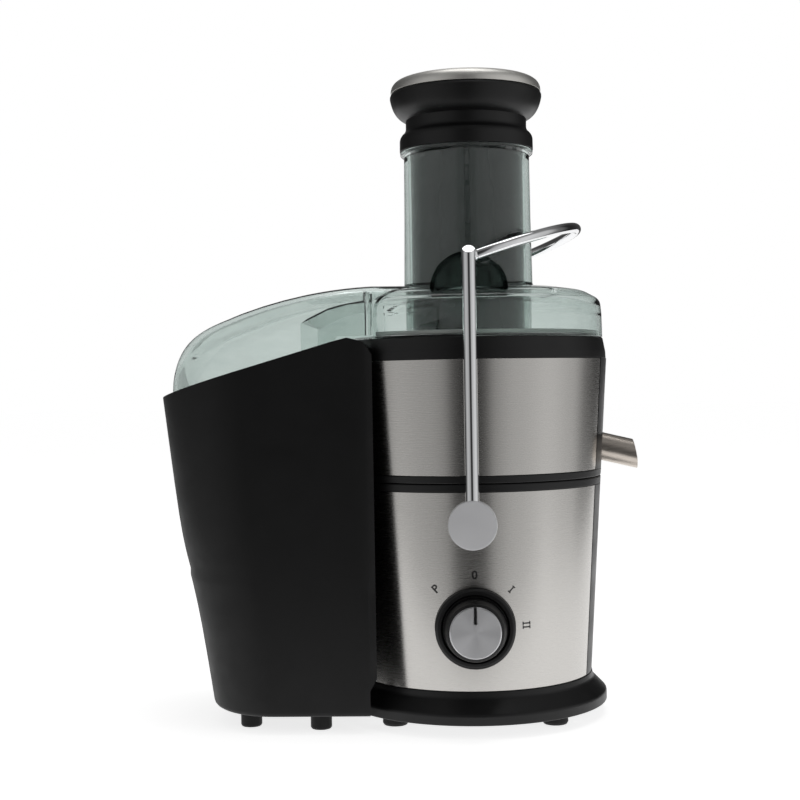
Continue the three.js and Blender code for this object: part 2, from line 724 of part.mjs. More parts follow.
function bailHump(side) {
  const disc = new THREE.Shape().absarc(0, HUMP.z, HUMP.radius, -0.25, Math.PI + 0.25, false);
  const [a, b] = [side * HUMP.root, side * HUMP.front].sort((p, q) => p - q);
  const rear = carried(disc, a, b, 10);
  // The bail's stub leaves along an arc about the pivot, and stops against the other half.
  const stubPath = BAIL_TOP - 2 * BAIL_ROD - BAIL_PIVOT_Z - 0.6;
  const [c, d] = [side * HUMP.split, side * (HUMP.front + 5)].sort((p, q) => p - q);
  const sweep = block([-BAIL_ROD - 0.5, c, HUMP.z], [40, d, BAIL_TOP + 10])
    .subtract(bar([0, -100, BAIL_PIVOT_Z], [0, 100, BAIL_PIVOT_Z], stubPath, 72));
  return rear.subtract(sweep);
}

const TUBE_OUTER = 40;              // outside radius of the feed tube
const TUBE_FOOT = 40.9;             // and where it stands in the dome's roof, as thick as the draft allows
const DOME_ROOF = 270;

// One moulding with the dome on such a machine. It is a piece of its own, let through the roof,
// so that its bore stays open in collision.
function feedTube() {
  const mouth = 7;
  const tube = turned([
    [TUBE_BORE, TUBE_BOTTOM],
    [TUBE_OUTER, TUBE_BOTTOM],
    [TUBE_FOOT, DOME_ROOF],
    [TUBE_OUTER, TUBE_TOP - 3.5],
    [42.2, TUBE_TOP - 1.8],
    [42.4, TUBE_TOP],
    [39.4, TUBE_TOP],
    [TUBE_BORE, TUBE_TOP - mouth],
  ]);
  const key = block([-0.9, -TUBE_BORE - 0.6, TUBE_BOTTOM + 6], [0.9, -34.8, 340]);
  piece('feed_tube', tube.add(key), 'smokyClear');
}

function lid() {
  const outer = turned([
    [0, LID_BOTTOM],
    [LID_RADIUS, LID_BOTTOM],
    [83.8, 257],
    [81.4, 262],
    [77.4, 265],
    [63.3, 268],
    [TUBE_FOOT, DOME_ROOF],
    [0, DOME_ROOF],
  ]);
  const inner = turned([
    [0, LID_BOTTOM - 10],
    [LID_RADIUS - LID_WALL, LID_BOTTOM - 10],
    [81.3, 257],
    [78, 261],
    [TUBE_FOOT, 267.4],
    [0, 267.4],
  ]);
  const tubeRoom = turned([
    [0, 150], [TUBE_FOOT + GAP, 150], [TUBE_FOOT + GAP, TUBE_TOP + 10], [0, TUBE_TOP + 10],
  ]);
  // The chute's walls end a little below the container's rim, and above the bowl near the drum.
  const hem = RIM_HEIGHT - 7;
  const below = carried(outline([
    [-260, 100], [0, 100], [0, hem], [-260, hem - 260 * RIM_SLOPE],
  ]), -100, 100);
  const nearDrum = turned([[0, 150], [95, 150], [95, LID_BOTTOM], [0, LID_BOTTOM]]);
  const shell = join(outer, chuteSolid(0), bailHump(-1), bailHump(1))
    .subtract(below.add(nearDrum))
    .subtract(inner)
    .subtract(chuteSolid(LID_WALL))
    .subtract(tubeRoom);
  piece('lid', shell, 'smokyClear');
  feedTube();
  const seat = BOWL_RIM.top + GAP;
  const gasket = turned([[79, seat], [81.2, seat], [81.2, seat + 2.5], [79, seat + 2.5]], MEDIUM_ROUND);
  piece('lid_gasket', gasket.subtract(pulpGate()), 'silicone');
}

// ---------------------------------------------------------------- pusher
const PUSHER = { radius: 35.7, wall: 2.2, bottom: 198, top: 357, plug: 350 };

function pusher() {
  const { radius, wall, bottom, top, plug } = PUSHER;
  const body = turned([
    [0, bottom],
    [radius - 2, bottom],
    [radius, bottom + 2],
    [radius, top],
    [radius - wall, top],
    [radius - wall, bottom + wall + 2],
    [0, bottom + wall + 2],
  ]);
  const groove = block([-1.7, -radius - 1, bottom - 1], [1.7, -34.1, 345]);
  piece('pusher_body', body.subtract(groove), 'pusherGrey');
  piece('pusher_head', turned([
    [0, plug],
    [radius - wall - GAP, plug],
    [radius - wall - GAP, top + GAP],
    [42.6, top + GAP],
    [42.3, 364.7],
    [38.5, 371.5],
    [38.5, 377],
    [47, 385],
    [48.4, 391.5],
    [47.9, 394],
    [0, 394],
  ], MEDIUM_ROUND), 'satinBlack');
  piece('pusher_cap', turned([
    [0, 394.3],
    [47.8, 394.3],
    [47.4, 398],
    [44, 402],
    [0, 404],
  ], MEDIUM_ROUND), 'satinMetal');
}

// ---------------------------------------------------------------- pulp container
const CONTAINER_LEVELS = [CONTAINER_FLOOR, 84, 96, 108, 250];

// Distance of the container's outer end from the axis: a finger step makes the lower part narrower.
function containerReach(z) {
  if (z > 108) {
    return CONTAINER_REACH - 0.1187 * (203 - z);
  }
  if (z > 84) {
    return 175.4 + 0.321 * (z - 84);
  }
  return 175.4 - 0.1505 * (84 - z);
}

function containerSolid(inset, floor) {
  const reach = CONTAINER_REACH - inset;
  const arm = CONTAINER_ARM + inset;
  const side = CONTAINER_HALF_WIDTH - inset;
  const corner = CONTAINER_CORNER - inset;
  const small = Math.max(5 - inset, 2);
  const shape = new THREE.Shape();
  shape.moveTo(-arm - small, -side);
  shape.lineTo(-reach + corner, -side);
  shape.absarc(-reach + corner, -side + corner, corner, -Math.PI / 2, -Math.PI, true);
  shape.absarc(-reach + corner, side - corner, corner, Math.PI, Math.PI / 2, true);
  shape.lineTo(-arm - small, side);
  shape.absarc(-arm - small, side - small, small, Math.PI / 2, 0, true);
  shape.absarc(-arm - small, -side + small, small, 0, -Math.PI / 2, true);
  const steps = CONTAINER_LEVELS.length - 1;
  const options = { depth: steps, steps, bevelEnabled: false, curveSegments: 3 };
  const geometry = new THREE.ExtrudeGeometry(shape, options);
  const position = geometry.attributes.position;
  for (let i = 0; i < position.count; i += 1) {
    const level = Math.round(position.getZ(i));
    const z = level === 0 ? floor : CONTAINER_LEVELS[level];
    const shrink = (containerReach(z) - inset - arm) / (reach - arm);
    const draft = 1 - 0.04 * (1 - Math.min(z, 230) / 230);
    position.setXYZ(i, -arm + (position.getX(i) + arm) * shrink, position.getY(i) * draft, z);
  }
  const hug = CONTAINER_HUG + inset;
  const drum = turned([[0, 0], [hug + 14, 0], [hug + 13, 10], [hug, 33], [hug, 260], [0, 260]], 40);
  return solid(geometry).subtract(drum);
}

function pulpContainer() {
  const rim = new THREE.Shape();
  const rimAt = (x) => RIM_HEIGHT + RIM_SLOPE * x;
  rim.moveTo(-58, 0);
  rim.lineTo(-58, 226);
  rim.quadraticCurveTo(-62.5, 240, -76, rimAt(-76));
  rim.lineTo(-210, rimAt(-210));
  rim.lineTo(-210, 0);
  let bucket = containerSolid(0, CONTAINER_FLOOR).intersect(carried(rim, -90, 90));
  for (const [x, y] of [[-138, 43.5], [-94, 51.5]]) {
    for (const sy of [-1, 1]) {
      bucket = bucket.add(bar([x, sy * y, 0], [x, sy * y, CONTAINER_FLOOR + 1], 6.5));
    }
  }
  const underChute = block([-110, -69.6, 235.2], [-40, 69.6, 270]);
  bucket = bucket.subtract(containerSolid(CONTAINER_WALL, CONTAINER_FLOOR + WALL)).subtract(underChute);
  piece('pulp_container', bucket, 'matteBlack');
}

// ---------------------------------------------------------------- bail
class LoopCurve extends THREE.Curve {
  getPoint(t, target = new THREE.Vector3()) {
    const angle = (t - 0.5) * Math.PI;
    const reach = LOOP_LENGTH * Math.cos(angle);
    const tilt = rad(LOOP_TILT);
    return target.set(
      LOOP_ROOT.x + reach * Math.cos(tilt),
      LOOP_ROOT.y * Math.sin(angle),
      LOOP_ROOT.z + reach * Math.sin(tilt),
    );
  }
}

function bail() {
  const sides = 12;
  const section = polygon(LOOP_ROD, 8);
  const loop = new THREE.ExtrudeGeometry(section, {
    steps: 22,
    extrudePath: new LoopCurve(),
    bevelEnabled: false,
  });
  piece('bail_loop', solid(loop), 'chrome');

  const stubZ = BAIL_TOP - BAIL_ROD;
  for (const [end, sy] of [['front', -1], ['rear', 1]]) {
    const y = sy * BAIL_Y;
    const stubEnd = sy * (HUMP.split + 1);
    const keep = block([-10, Math.min(y, 0) - 3, 100], [10, Math.max(y, 0) + 3, 300]);
    const bevel = block([-10, -4, -12], [10, 4, 12]).rotate([sy * 45, 0, 0])
      .translate([0, y + sy * 6.2, stubZ + 6.2]);
    const upright = bar([0, y, BAIL_PIVOT_Z + 6], [0, y, stubZ + BAIL_ROD], BAIL_ROD, sides);
    const stub = bar([0, y + sy * BAIL_ROD, stubZ], [0, stubEnd, stubZ], BAIL_ROD, sides);
    const loopEnd = new THREE.Vector3(LOOP_ROOT.x, sy * LOOP_ROOT.y, LOOP_ROOT.z);
    const socket = solid(new THREE.SphereGeometry(LOOP_ROD + 0.9, 12, 8))
      .translate([loopEnd.x - 2.4, loopEnd.y, loopEnd.z - 0.4]);
    const roomStart = [loopEnd.x - 0.3, loopEnd.y, loopEnd.z - 0.1];
    const roomEnd = [loopEnd.x + 20, loopEnd.y, loopEnd.z + 6];
    const room = bar(roomStart, roomEnd, LOOP_ROD + GAP + 0.4, sides);
    const arm = join(upright, stub, socket).subtract(room).subtract(bevel);
    piece(`bail_arm_${end}`, arm.intersect(keep.add(block([-10, -110, 100], [20, 110, 300]))), 'chrome');

    const [inner, outer] = DISC_FACES;
    const disc = turnedAcross([
      [0, sy * inner],
      [DISC_RADIUS - 0.6, sy * inner],
      [DISC_RADIUS, sy * (inner + 0.6)],
      [DISC_RADIUS, sy * (outer - 1)],
      [DISC_RADIUS - 1, sy * outer],
      [0, sy * outer],
    ], MEDIUM_ROUND).translate([0, 0, BAIL_PIVOT_Z])
      .subtract(bar([0, y, BAIL_PIVOT_Z + 5], [0, y, BAIL_PIVOT_Z + 30], BAIL_ROD + GAP, sides));
    piece(`pivot_disc_${end}`, disc, 'satinGrey');
    const pin = turnedAcross([
      [0, sy * 63.4],
      [PIVOT_SHAFT, sy * 63.4],
      [PIVOT_SHAFT, sy * 82.2],
      [6, sy * 82.2],
      [6, sy * (inner - GAP)],
      [0, sy * (inner - GAP)],
    ]).translate([0, 0, BAIL_PIVOT_Z]);
    piece(`pivot_pin_${end}`, pin, 'steel');
  }
}

baseShell();
lowerSteelPanel();
basePlate();
cordGland();
controls();
stator();
rotor();
motorMounting();
electronics();
interlock();
juiceCollector();
sieve();
lid();
pusher();
pulpContainer();
bail();

export default juicer;
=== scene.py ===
"""Centrifugal juicer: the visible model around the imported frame. Front is -Y, +Z is up.

Shapes are written in millimetres from the drive axis and the ground, and become metres in plain_object().
"""
import json
import math

import bmesh
import bpy
from mathutils import Matrix, Vector


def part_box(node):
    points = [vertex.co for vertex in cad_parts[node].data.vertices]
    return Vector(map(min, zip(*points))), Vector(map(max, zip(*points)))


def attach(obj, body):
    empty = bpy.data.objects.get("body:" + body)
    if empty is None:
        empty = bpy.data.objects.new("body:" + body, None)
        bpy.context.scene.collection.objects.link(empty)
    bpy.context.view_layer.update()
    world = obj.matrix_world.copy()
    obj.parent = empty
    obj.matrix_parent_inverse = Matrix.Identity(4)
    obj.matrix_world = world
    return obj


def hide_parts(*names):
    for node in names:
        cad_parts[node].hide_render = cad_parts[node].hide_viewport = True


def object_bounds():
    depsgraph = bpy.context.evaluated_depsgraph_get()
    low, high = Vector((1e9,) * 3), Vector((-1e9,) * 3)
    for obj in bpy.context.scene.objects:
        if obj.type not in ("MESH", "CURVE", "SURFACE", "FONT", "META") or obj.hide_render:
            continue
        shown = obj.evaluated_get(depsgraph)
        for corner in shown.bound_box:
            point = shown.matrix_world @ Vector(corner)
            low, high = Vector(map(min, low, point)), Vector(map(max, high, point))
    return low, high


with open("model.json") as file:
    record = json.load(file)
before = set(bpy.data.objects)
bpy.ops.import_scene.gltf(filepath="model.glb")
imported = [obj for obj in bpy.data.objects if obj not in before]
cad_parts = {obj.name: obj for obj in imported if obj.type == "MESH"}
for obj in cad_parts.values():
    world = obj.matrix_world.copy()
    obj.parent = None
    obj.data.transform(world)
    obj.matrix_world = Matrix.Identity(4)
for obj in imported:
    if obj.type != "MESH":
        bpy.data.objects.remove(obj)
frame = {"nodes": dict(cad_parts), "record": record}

cad_box = [list(corner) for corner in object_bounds()]

# ---------------------------------------------------------------- dimensions, in millimetres
MM = 0.001
ON_AXIS = 1e-5                      # radii below this are points of the axis
ROUND = 160                         # sides of large turned pieces
MEDIUM_ROUND = 96
SMALL_ROUND = 48
TURN = 2 * math.pi

shaft_low, shaft_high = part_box("motor_shaft")
AXIS = Vector(((shaft_low[0] + shaft_high[0]) / 2, (shaft_low[1] + shaft_high[1]) / 2, 0))


def extent(node):
    """Lowest and highest corner of a CAD node, in millimetres from the drive axis."""
    low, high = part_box(node)
    return (Vector(low) - AXIS) / MM, (Vector(high) - AXIS) / MM


def centre_of(node):
    """Middle of a CAD node's box, in millimetres from the drive axis."""
    return tuple((low + high) / 2 for low, high in zip(*extent(node)))


GAP = 0.3                           # clearance between neighbours
CORNERS = [f"{end}_{side}" for end in ("front", "rear") for side in ("left", "right")]

BASE_LOW, BASE_HIGH = extent("base_shell")
FLANGE_RADIUS = (BASE_HIGH.y - BASE_LOW.y) / 2
FOOT_HEIGHT = BASE_LOW.z
BASE_TOP = BASE_HIGH.z
DRUM_LOW_Z, DRUM_LOW_RADIUS = 28, 74.8      # the drum is a cone through this circle
DRUM_TAPER = 0.0608
LOWER_PANEL = (26.2, 145.2)         # lowest and highest edge of each steel skin
UPPER_PANEL = (154.5, 223.7)
SKIN = 0.6                          # sheet steel
BED = 0.9                           # depth of the recess that it lies in
SPINE_HALF_ANGLE = 21.5             # half width of the plastic between the skin's ends, degrees
PIN_HOLE = 4.8

BOWL_BOTTOM, BOWL_RIM = (corner.z for corner in extent("juice_collector"))
BOWL_TOP = 236.6                    # the shoulder that the lid stands on
BOWL_FLOOR = 160
TOWER_TOP, TOWER_HOLE = 178.5, 17.5         # the bowl's centre tower
GATE_HALF_WIDTH = 58                # break in the bowl's rim, under the chute

LID_BOTTOM = 236.9
LID_WALL = 2.4
TUBE_BOTTOM, TUBE_TOP = (corner.z for corner in extent("feed_tube"))
TUBE_BORE = 37.6

PIVOT_Z = centre_of("pivot_disc_front")[2]
BAIL_Y = 93                         # centre plane of each upright
BAIL_ROD = 4.1                      # radius of the uprights
BAIL_TOP = extent("bail_arm_front")[1].z
LOOP_ROD = 3.2
LOOP_ROOT = (5, 85, 284.3)
LOOP_LENGTH = 67.4                  # along the loop's tilted plane
LOOP_TILT = 18.5                    # degrees
DISC_RADIUS = 14.3

BEZEL_RADIUS = 23.8
BEZEL_BACK = 69.5
BEZEL_FACE = -extent("escutcheon")[0].y
BEZEL_RECESS = 2.2
KNOB_FACE = -extent("knob_face")[0].y
KNOB_X, _, KNOB_Z = centre_of("escutcheon")

CORD_Z = centre_of("cord_gland")[2]

SPOUT_ROOT_X, SPOUT_ROOT_Z = 80, 168.5
SPOUT_SLOPE = math.tan(math.radians(13.5))
SPOUT_RADIUS = 8.8
SPOUT_WALL = 0.9

CONTAINER_REACH = -extent("pulp_container")[0].x
CONTAINER_HALF_WIDTH = 73
CONTAINER_ARM = 58.5                # distance of the arms' ends from the axis
CONTAINER_CORNER = 57
CONTAINER_WALL = 2.2
CONTAINER_FLOOR = 10.5
CONTAINER_HUG = 89.6                # radius of the hollow that hugs the drum
RIM_HEIGHT = 259                    # height of the slanted rim's plane above the axis
RIM_SLOPE = 0.288


def drum_radius(z):
    """Outside radius of the drum, whose steel skins lie flush in it."""
    return DRUM_LOW_RADIUS + DRUM_TAPER * (z - DRUM_LOW_Z)


def rim_height(x):
    """Height of the container's slanted rim."""
    return RIM_HEIGHT + RIM_SLOPE * x


# ---------------------------------------------------------------- outlines
def rounded(points, steps=6):
    """A closed outline of (x, y) or (x, y, fillet radius) corners, with each fillet as an arc."""
    out = []
    count = len(points)
    for i, point in enumerate(points):
        corner = Vector(point[:2])
        radius = point[2] if len(point) > 2 else 0
        before = Vector(points[i - 1][:2]) - corner
        after = Vector(points[(i + 1) % count][:2]) - corner
        if radius <= 0 or before.length < 1e-6 or after.length < 1e-6:
            out.append(tuple(corner))
            continue
        half = before.angle(after) / 2
        if half > math.radians(89):
            out.append(tuple(corner))
            continue
        run = min(radius / math.tan(half), 0.49 * before.length, 0.49 * after.length)
        radius = run * math.tan(half)
        bisector = (before.normalized() + after.normalized()).normalized()
        centre = corner + bisector * (radius / math.sin(half))
        start = corner + before.normalized() * run - centre
        end = corner + after.normalized() * run - centre
        swing = start.angle_signed(end)
        for k in range(steps + 1):
            turned = start.copy()
            turned.rotate(Matrix.Rotation(-swing * k / steps, 2))
            out.append(tuple(centre + turned))
    return out


def arc(centre, radius, start, end, steps):
    """Points of a circular arc, angles in degrees."""
    out = []
    for k in range(steps + 1):
        angle = math.radians(start + (end - start) * k / steps)
        out.append((centre[0] + radius * math.cos(angle), centre[1] + radius * math.sin(angle)))
    return out


def bezier(points, steps):
    """Points of a quadratic or cubic curve, its first point left out."""
    out = []
    for k in range(1, steps + 1):
        t = k / steps
        level = [Vector(p) for p in points]
        while len(level) > 1:
            level = [a.lerp(b, t) for a, b in zip(level, level[1:])]
        out.append(tuple(level[0]))
    return out


# ---------------------------------------------------------------- meshes
def grid_faces(bm, rings, closed_ring, closed_rows=False):
    """Quads between neighbouring rings. A ring may be one vertex, where the surface closes on an axis."""
    rows = len(rings)
    for i in range(rows if closed_rows else rows - 1):
        a, b = rings[i], rings[(i + 1) % rows]
        count = max(len(a), len(b))
        for j in range(count if closed_ring else count - 1):
            k = (j + 1) % count
            corners = [a[j % len(a)], a[k % len(a)], b[k % len(b)], b[j % len(b)]]
            unique = list(dict.fromkeys(corners))
            if len(unique) > 2:
                bm.faces.new(unique)


def turned(profile, sides=ROUND, start=0.0, end=360.0, axis="Z", centre=(0, 0, 0)):
    """A bmesh of a closed (radius, height) outline turned about an axis through centre."""
    bm = bmesh.new()
    full = abs(end - start) >= 360
    columns = sides if full else sides + 1
    rings = []
    for radius, height in profile:
        ring = []
        for j in range(columns if radius > ON_AXIS else 1):
            angle = math.radians(start) + math.radians(end - start) * j / sides
            flat = (radius * math.cos(angle), radius * math.sin(angle))
            if axis == "Z":
                place = Vector((flat[0], flat[1], height))
            else:
                place = Vector((flat[0], height, flat[1]))
            ring.append(bm.verts.new(place + Vector(centre)))
        rings.append(ring)
    on_axis = profile[0][0] <= ON_AXIS and profile[-1][0] <= ON_AXIS
    grid_faces(bm, rings, full, not on_axis)
    if not full:
        bm.faces.new([ring[0] for ring in rings])
        bm.faces.new([ring[-1] for ring in rings])
    bmesh.ops.recalc_face_normals(bm, faces=bm.faces)
    return bm


def lofted(rings):
    """A closed bmesh through rings of the same number of points."""
    bm = bmesh.new()
    made = [[bm.verts.new(p) for p in ring] for ring in rings]
    grid_faces(bm, made, True)
    bm.faces.new(made[0])
    bm.faces.new(made[-1])
    bmesh.ops.recalc_face_normals(bm, faces=bm.faces)
    return bm


def swept(path, radius, sides=24):
    """A round bar along a path, mitred at its corners."""
    path = [Vector(p) for p in path]
    rings = []
    side = None
    for i, point in enumerate(path):
        into = (point - path[i - 1]).normalized() if i else (path[1] - point).normalized()
        out = (path[i + 1] - point).normalized() if i + 1 < len(path) else into
        if side is None:
            side = into.orthogonal().normalized()
        side = (side - into * side.dot(into)).normalized()
        up = into.cross(side)
        plane = (into + out).normalized()
        ring = []
        for j in range(sides):
            angle = TURN * j / sides
            offset = (side * math.cos(angle) + up * math.sin(angle)) * radius
            ring.append(point + offset - into * (offset.dot(plane) / into.dot(plane)))
        rings.append(ring)
        side = into.rotation_difference(out) @ side
    return lofted(rings)


def plain_object(name, bm):
    """A Blender object, in metres and in the frame, from a bmesh in millimetres from the drive axis."""
    bm.transform(Matrix.Translation(AXIS) @ Matrix.Scale(MM, 4))
    mesh = bpy.data.meshes.new(name)
    bm.to_mesh(mesh)
    bm.free()
    made = bpy.data.objects.new(name, mesh)
    bpy.context.scene.collection.objects.link(made)
    return made


def baked(made):
    """Applies an object's modifiers to its mesh."""
    graph = bpy.context.evaluated_depsgraph_get()
    mesh = bpy.data.meshes.new_from_object(made.evaluated_get(graph))
    old = made.data
    made.modifiers.clear()
    made.data = mesh
    bpy.data.meshes.remove(old)
    mesh.name = made.name


def combine(made, tools, operation):
    """Cuts or joins one object with bmeshes, which are used up."""
    for tool in tools:
        other = plain_object("tool", tool)
        modifier = made.modifiers.new("combine", "BOOLEAN")
        modifier.operation = operation
        modifier.solver = "EXACT"
        modifier.object = other
        baked(made)
        bpy.data.objects.remove(other)


def cut(made, *tools):
    combine(made, tools, "DIFFERENCE")


def join(made, *tools):
    combine(made, tools, "UNION")


def bevelled(made, width, segments=2, angle=40):
    """Rounds the edges sharper than an angle, by a width in millimetres."""
    modifier = made.modifiers.new("bevel", "BEVEL")
    modifier.width = width * MM
    modifier.segments = segments
    modifier.limit_method = "ANGLE"
    modifier.angle_limit = math.radians(angle)
    modifier.harden_normals = False
    baked(made)


def settle(made, nodes, body, slot_name, sharp=32, finish=None):
    """Smooths, paints and registers a finished piece. Its finish is its slot's, unless another is given."""
    mesh = made.data
    mesh.polygons.foreach_set("use_smooth", [True] * len(mesh.polygons))
    mesh.set_sharp_from_angle(angle=math.radians(sharp))
    weighted = made.modifiers.new("weighted", "WEIGHTED_NORMAL")
    weighted.keep_sharp = True
    weighted.weight = 60
    mesh.materials.clear()
    mesh.materials.append(finish or MATERIALS[slot_name])
    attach(made, body)
    if nodes:
        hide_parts(*nodes)
    return made


def box_mesh(low, high):
    bm = bmesh.new()
    bmesh.ops.create_cube(bm, size=1)
    size = Vector(high) - Vector(low)
    middle = (Vector(high) + Vector(low)) / 2
    bm.transform(Matrix.Translation(middle) @ Matrix.Diagonal((*size, 1)))
    return bm


def rod(start, end, radius, sides=SMALL_ROUND):
    return swept([start, end], radius, sides)


def prism(outline, low, high, axis="Z"):
    """A bmesh of an outline of (x, y), or of (x, z) where the axis is Y, between two levels."""
    rings = []
    for level in (low, high):
        if axis == "Z":
            rings.append([Vector((a, b, level)) for a, b in outline])
        else:
            rings.append([Vector((a, level, b)) for a, b in outline])
    return lofted(rings)


# ---------------------------------------------------------------- materials
def new_material(name, colour, roughness, metallic=0.0, **sockets):
    """A principled material. Further sockets are given as Socket_Name=value."""
    material = bpy.data.materials.new(name)
    material.use_nodes = True
    shader = material.node_tree.nodes["Principled BSDF"]
    shader.inputs["Base Color"].default_value = (*colour, 1)
    shader.inputs["Roughness"].default_value = roughness
    shader.inputs["Metallic"].default_value = metallic
    for key, value in sockets.items():
        shader.inputs[key.replace("_", " ")].default_value = value
    return material


def plug(owner, value, socket):
    """Sets an input, or links it where the value is another node's output."""
    if isinstance(value, bpy.types.NodeSocket):
        owner.node_tree.links.new(value, socket)
    else:
        socket.default_value = value


def add_node(owner, kind, **inputs):
    """A new node of a material or world. Inputs are given as Socket_Name=value."""
    node = owner.node_tree.nodes.new(kind)
    for key, value in inputs.items():
        plug(owner, value, node.inputs[key.replace("_", " ")])
    return node


def arithmetic(owner, operation, *values):
    node = add_node(owner, "ShaderNodeMath")
    node.operation = operation
    for value, socket in zip(values, node.inputs):
        plug(owner, value, socket)
    return node.outputs["Value"]


def object_place(material):
    return add_node(material, "ShaderNodeTexCoord").outputs["Object"]


def stretched_noise(material, scale, stretch=(1, 1, 1), detail=3.0, roughness=0.5):
    """Noise in the object's own metres, squeezed along some axes."""
    mapping = add_node(material, "ShaderNodeMapping", Vector=object_place(material), Scale=stretch)
    noise = add_node(
        material, "ShaderNodeTexNoise", Vector=mapping.outputs["Vector"], Scale=scale, Detail=detail,
        Roughness=roughness)
    return noise.outputs["Fac"]


def spread(material, value, low, high, from_low=0.3, from_high=0.7):
    """A value carried over from one range to another."""
    node = add_node(
        material, "ShaderNodeMapRange", Value=value, From_Min=from_low, From_Max=from_high, To_Min=low,
        To_Max=high)
    return node.outputs["Result"]


def feed(material, value, socket):
    shader = material.node_tree.nodes["Principled BSDF"]
    material.node_tree.links.new(value, shader.inputs[socket])


def tint(material, value, dark, light, from_low=0.3, from_high=0.7):
    """Colour that varies between two tones with a value."""
    ramp = add_node(material, "ShaderNodeValToRGB", Fac=value)
    for stop, place, colour in zip(ramp.color_ramp.elements, (from_low, from_high), (dark, light)):
        stop.position = place
        stop.color = (*colour, 1)
    feed(material, ramp.outputs["Color"], "Base Color")


def bump(material, value, height, strength=1.0):
    """Surface relief of a real height, in metres."""
    node = add_node(material, "ShaderNodeBump", Height=value, Distance=height, Strength=strength)
    feed(material, node.outputs["Normal"], "Normal")


def edge_wear(material, rough_low, rough_high):
    """Roughness that falls a little where edges are rubbed, and varies in soft blotches."""
    pointiness = add_node(material, "ShaderNodeNewGeometry").outputs["Pointiness"]
    rubbed = spread(material, pointiness, 0.0, -0.08, 0.52, 0.6)
    blotches = spread(material, stretched_noise(material, 60, detail=4), rough_low, rough_high)
    feed(material, arithmetic(material, "ADD", blotches, rubbed), "Roughness")


def moulded(name, colour, rough_low, rough_high, grain=2600, relief=0.000012, specular=0.5):
    """Moulded plastic: fine spark-eroded grain, soft blotches and slightly polished edges."""
    material = new_material(name, colour, rough_high, Specular_IOR_Level=specular)
    edge_wear(material, rough_low, rough_high)
    tone = stretched_noise(material, 25, detail=2)
    tint(material, tone, tuple(c * 0.92 for c in colour), tuple(c * 1.08 for c in colour))
    bump(material, stretched_noise(material, grain, detail=2), relief)
    return material


ACROSS = 0.25                       # turns the highlight so that it runs across the scratches


def brushed(name, dark, light, rough_low, rough_high, stretch, anisotropy, relief=0.000004):
    """Sheet metal with fine scratches along the directions that stretch leaves long."""
    material = new_material(
        name, light, rough_high, 1.0, Anisotropic=anisotropy, Anisotropic_Rotation=ACROSS)
    fine = stretched_noise(material, 1, stretch, detail=5, roughness=0.65)
    tint(material, fine, dark, light, 0.25, 0.75)
    feed(material, spread(material, fine, rough_low, rough_high), "Roughness")
    bump(material, fine, relief)
    return material


# Each line gives what the function takes after the name.
LOOKS = {
    "housing_black": (moulded, (0.005, 0.005, 0.0053), 0.36, 0.46, 2600, 0.000012, 0.38),
    "container_black": (moulded, (0.003, 0.003, 0.0032), 0.5, 0.6, 1900, 0.00002, 0.3),
    "brushed_steel": (
        brushed, (0.555, 0.54, 0.52), (0.6, 0.585, 0.56), 0.25, 0.29, (80, 80, 7000), 0.6, 7e-7),
    "spout_steel": (brushed, (0.5, 0.45, 0.4), (0.66, 0.6, 0.54), 0.26, 0.34, (60, 900, 900), 0.3),
    "disc_grey": (moulded, (0.72, 0.72, 0.735), 0.34, 0.42),
    "cap_metal": (brushed, (0.7, 0.69, 0.655), (0.76, 0.745, 0.71), 0.38, 0.46, (400, 400, 400), 0.0),
    "bare_steel": (brushed, (0.42, 0.42, 0.42), (0.56, 0.56, 0.56), 0.24, 0.34, (90, 90, 1400), 0.2),
    "foot_rubber": (moulded, (0.012, 0.012, 0.012), 0.7, 0.85, 1500, 0.00003),
    "pusher_grey": (moulded, (0.015, 0.0145, 0.015), 0.24, 0.3, 2600, 0.000002),
    "inner_moulding": (moulded, (0.03, 0.03, 0.032), 0.4, 0.5),
    "clear_silicone": (moulded, (0.42, 0.45, 0.43), 0.4, 0.5),
    "laminated_iron": (brushed, (0.1, 0.1, 0.1), (0.2, 0.2, 0.2), 0.4, 0.5, (20, 20, 2500), 0.0),
    "copper_wire": (brushed, (0.4, 0.14, 0.05), (0.6, 0.24, 0.1), 0.3, 0.4, (20, 20, 1800), 0.0),
    "brush_brass": (brushed, (0.45, 0.3, 0.09), (0.6, 0.42, 0.15), 0.3, 0.4, (300, 300, 300), 0.0),
    "bracket_zinc": (brushed, (0.26, 0.27, 0.28), (0.36, 0.37, 0.38), 0.4, 0.52, (300, 300, 300), 0.0),
    "circuit_board": (moulded, (0.02, 0.1, 0.04), 0.4, 0.5),
}
MATERIALS = {name: make(name, *look) for name, (make, *look) in LOOKS.items()}


def chrome_material():
    """Polished bar with a faint waviness."""
    material = new_material("bright_chrome", (0.83, 0.835, 0.845), 0.05, 1.0)
    feed(material, spread(material, stretched_noise(material, 90, detail=4), 0.035, 0.085), "Roughness")
    bump(material, stretched_noise(material, 40, detail=1), 0.00002, 0.35)
    return material


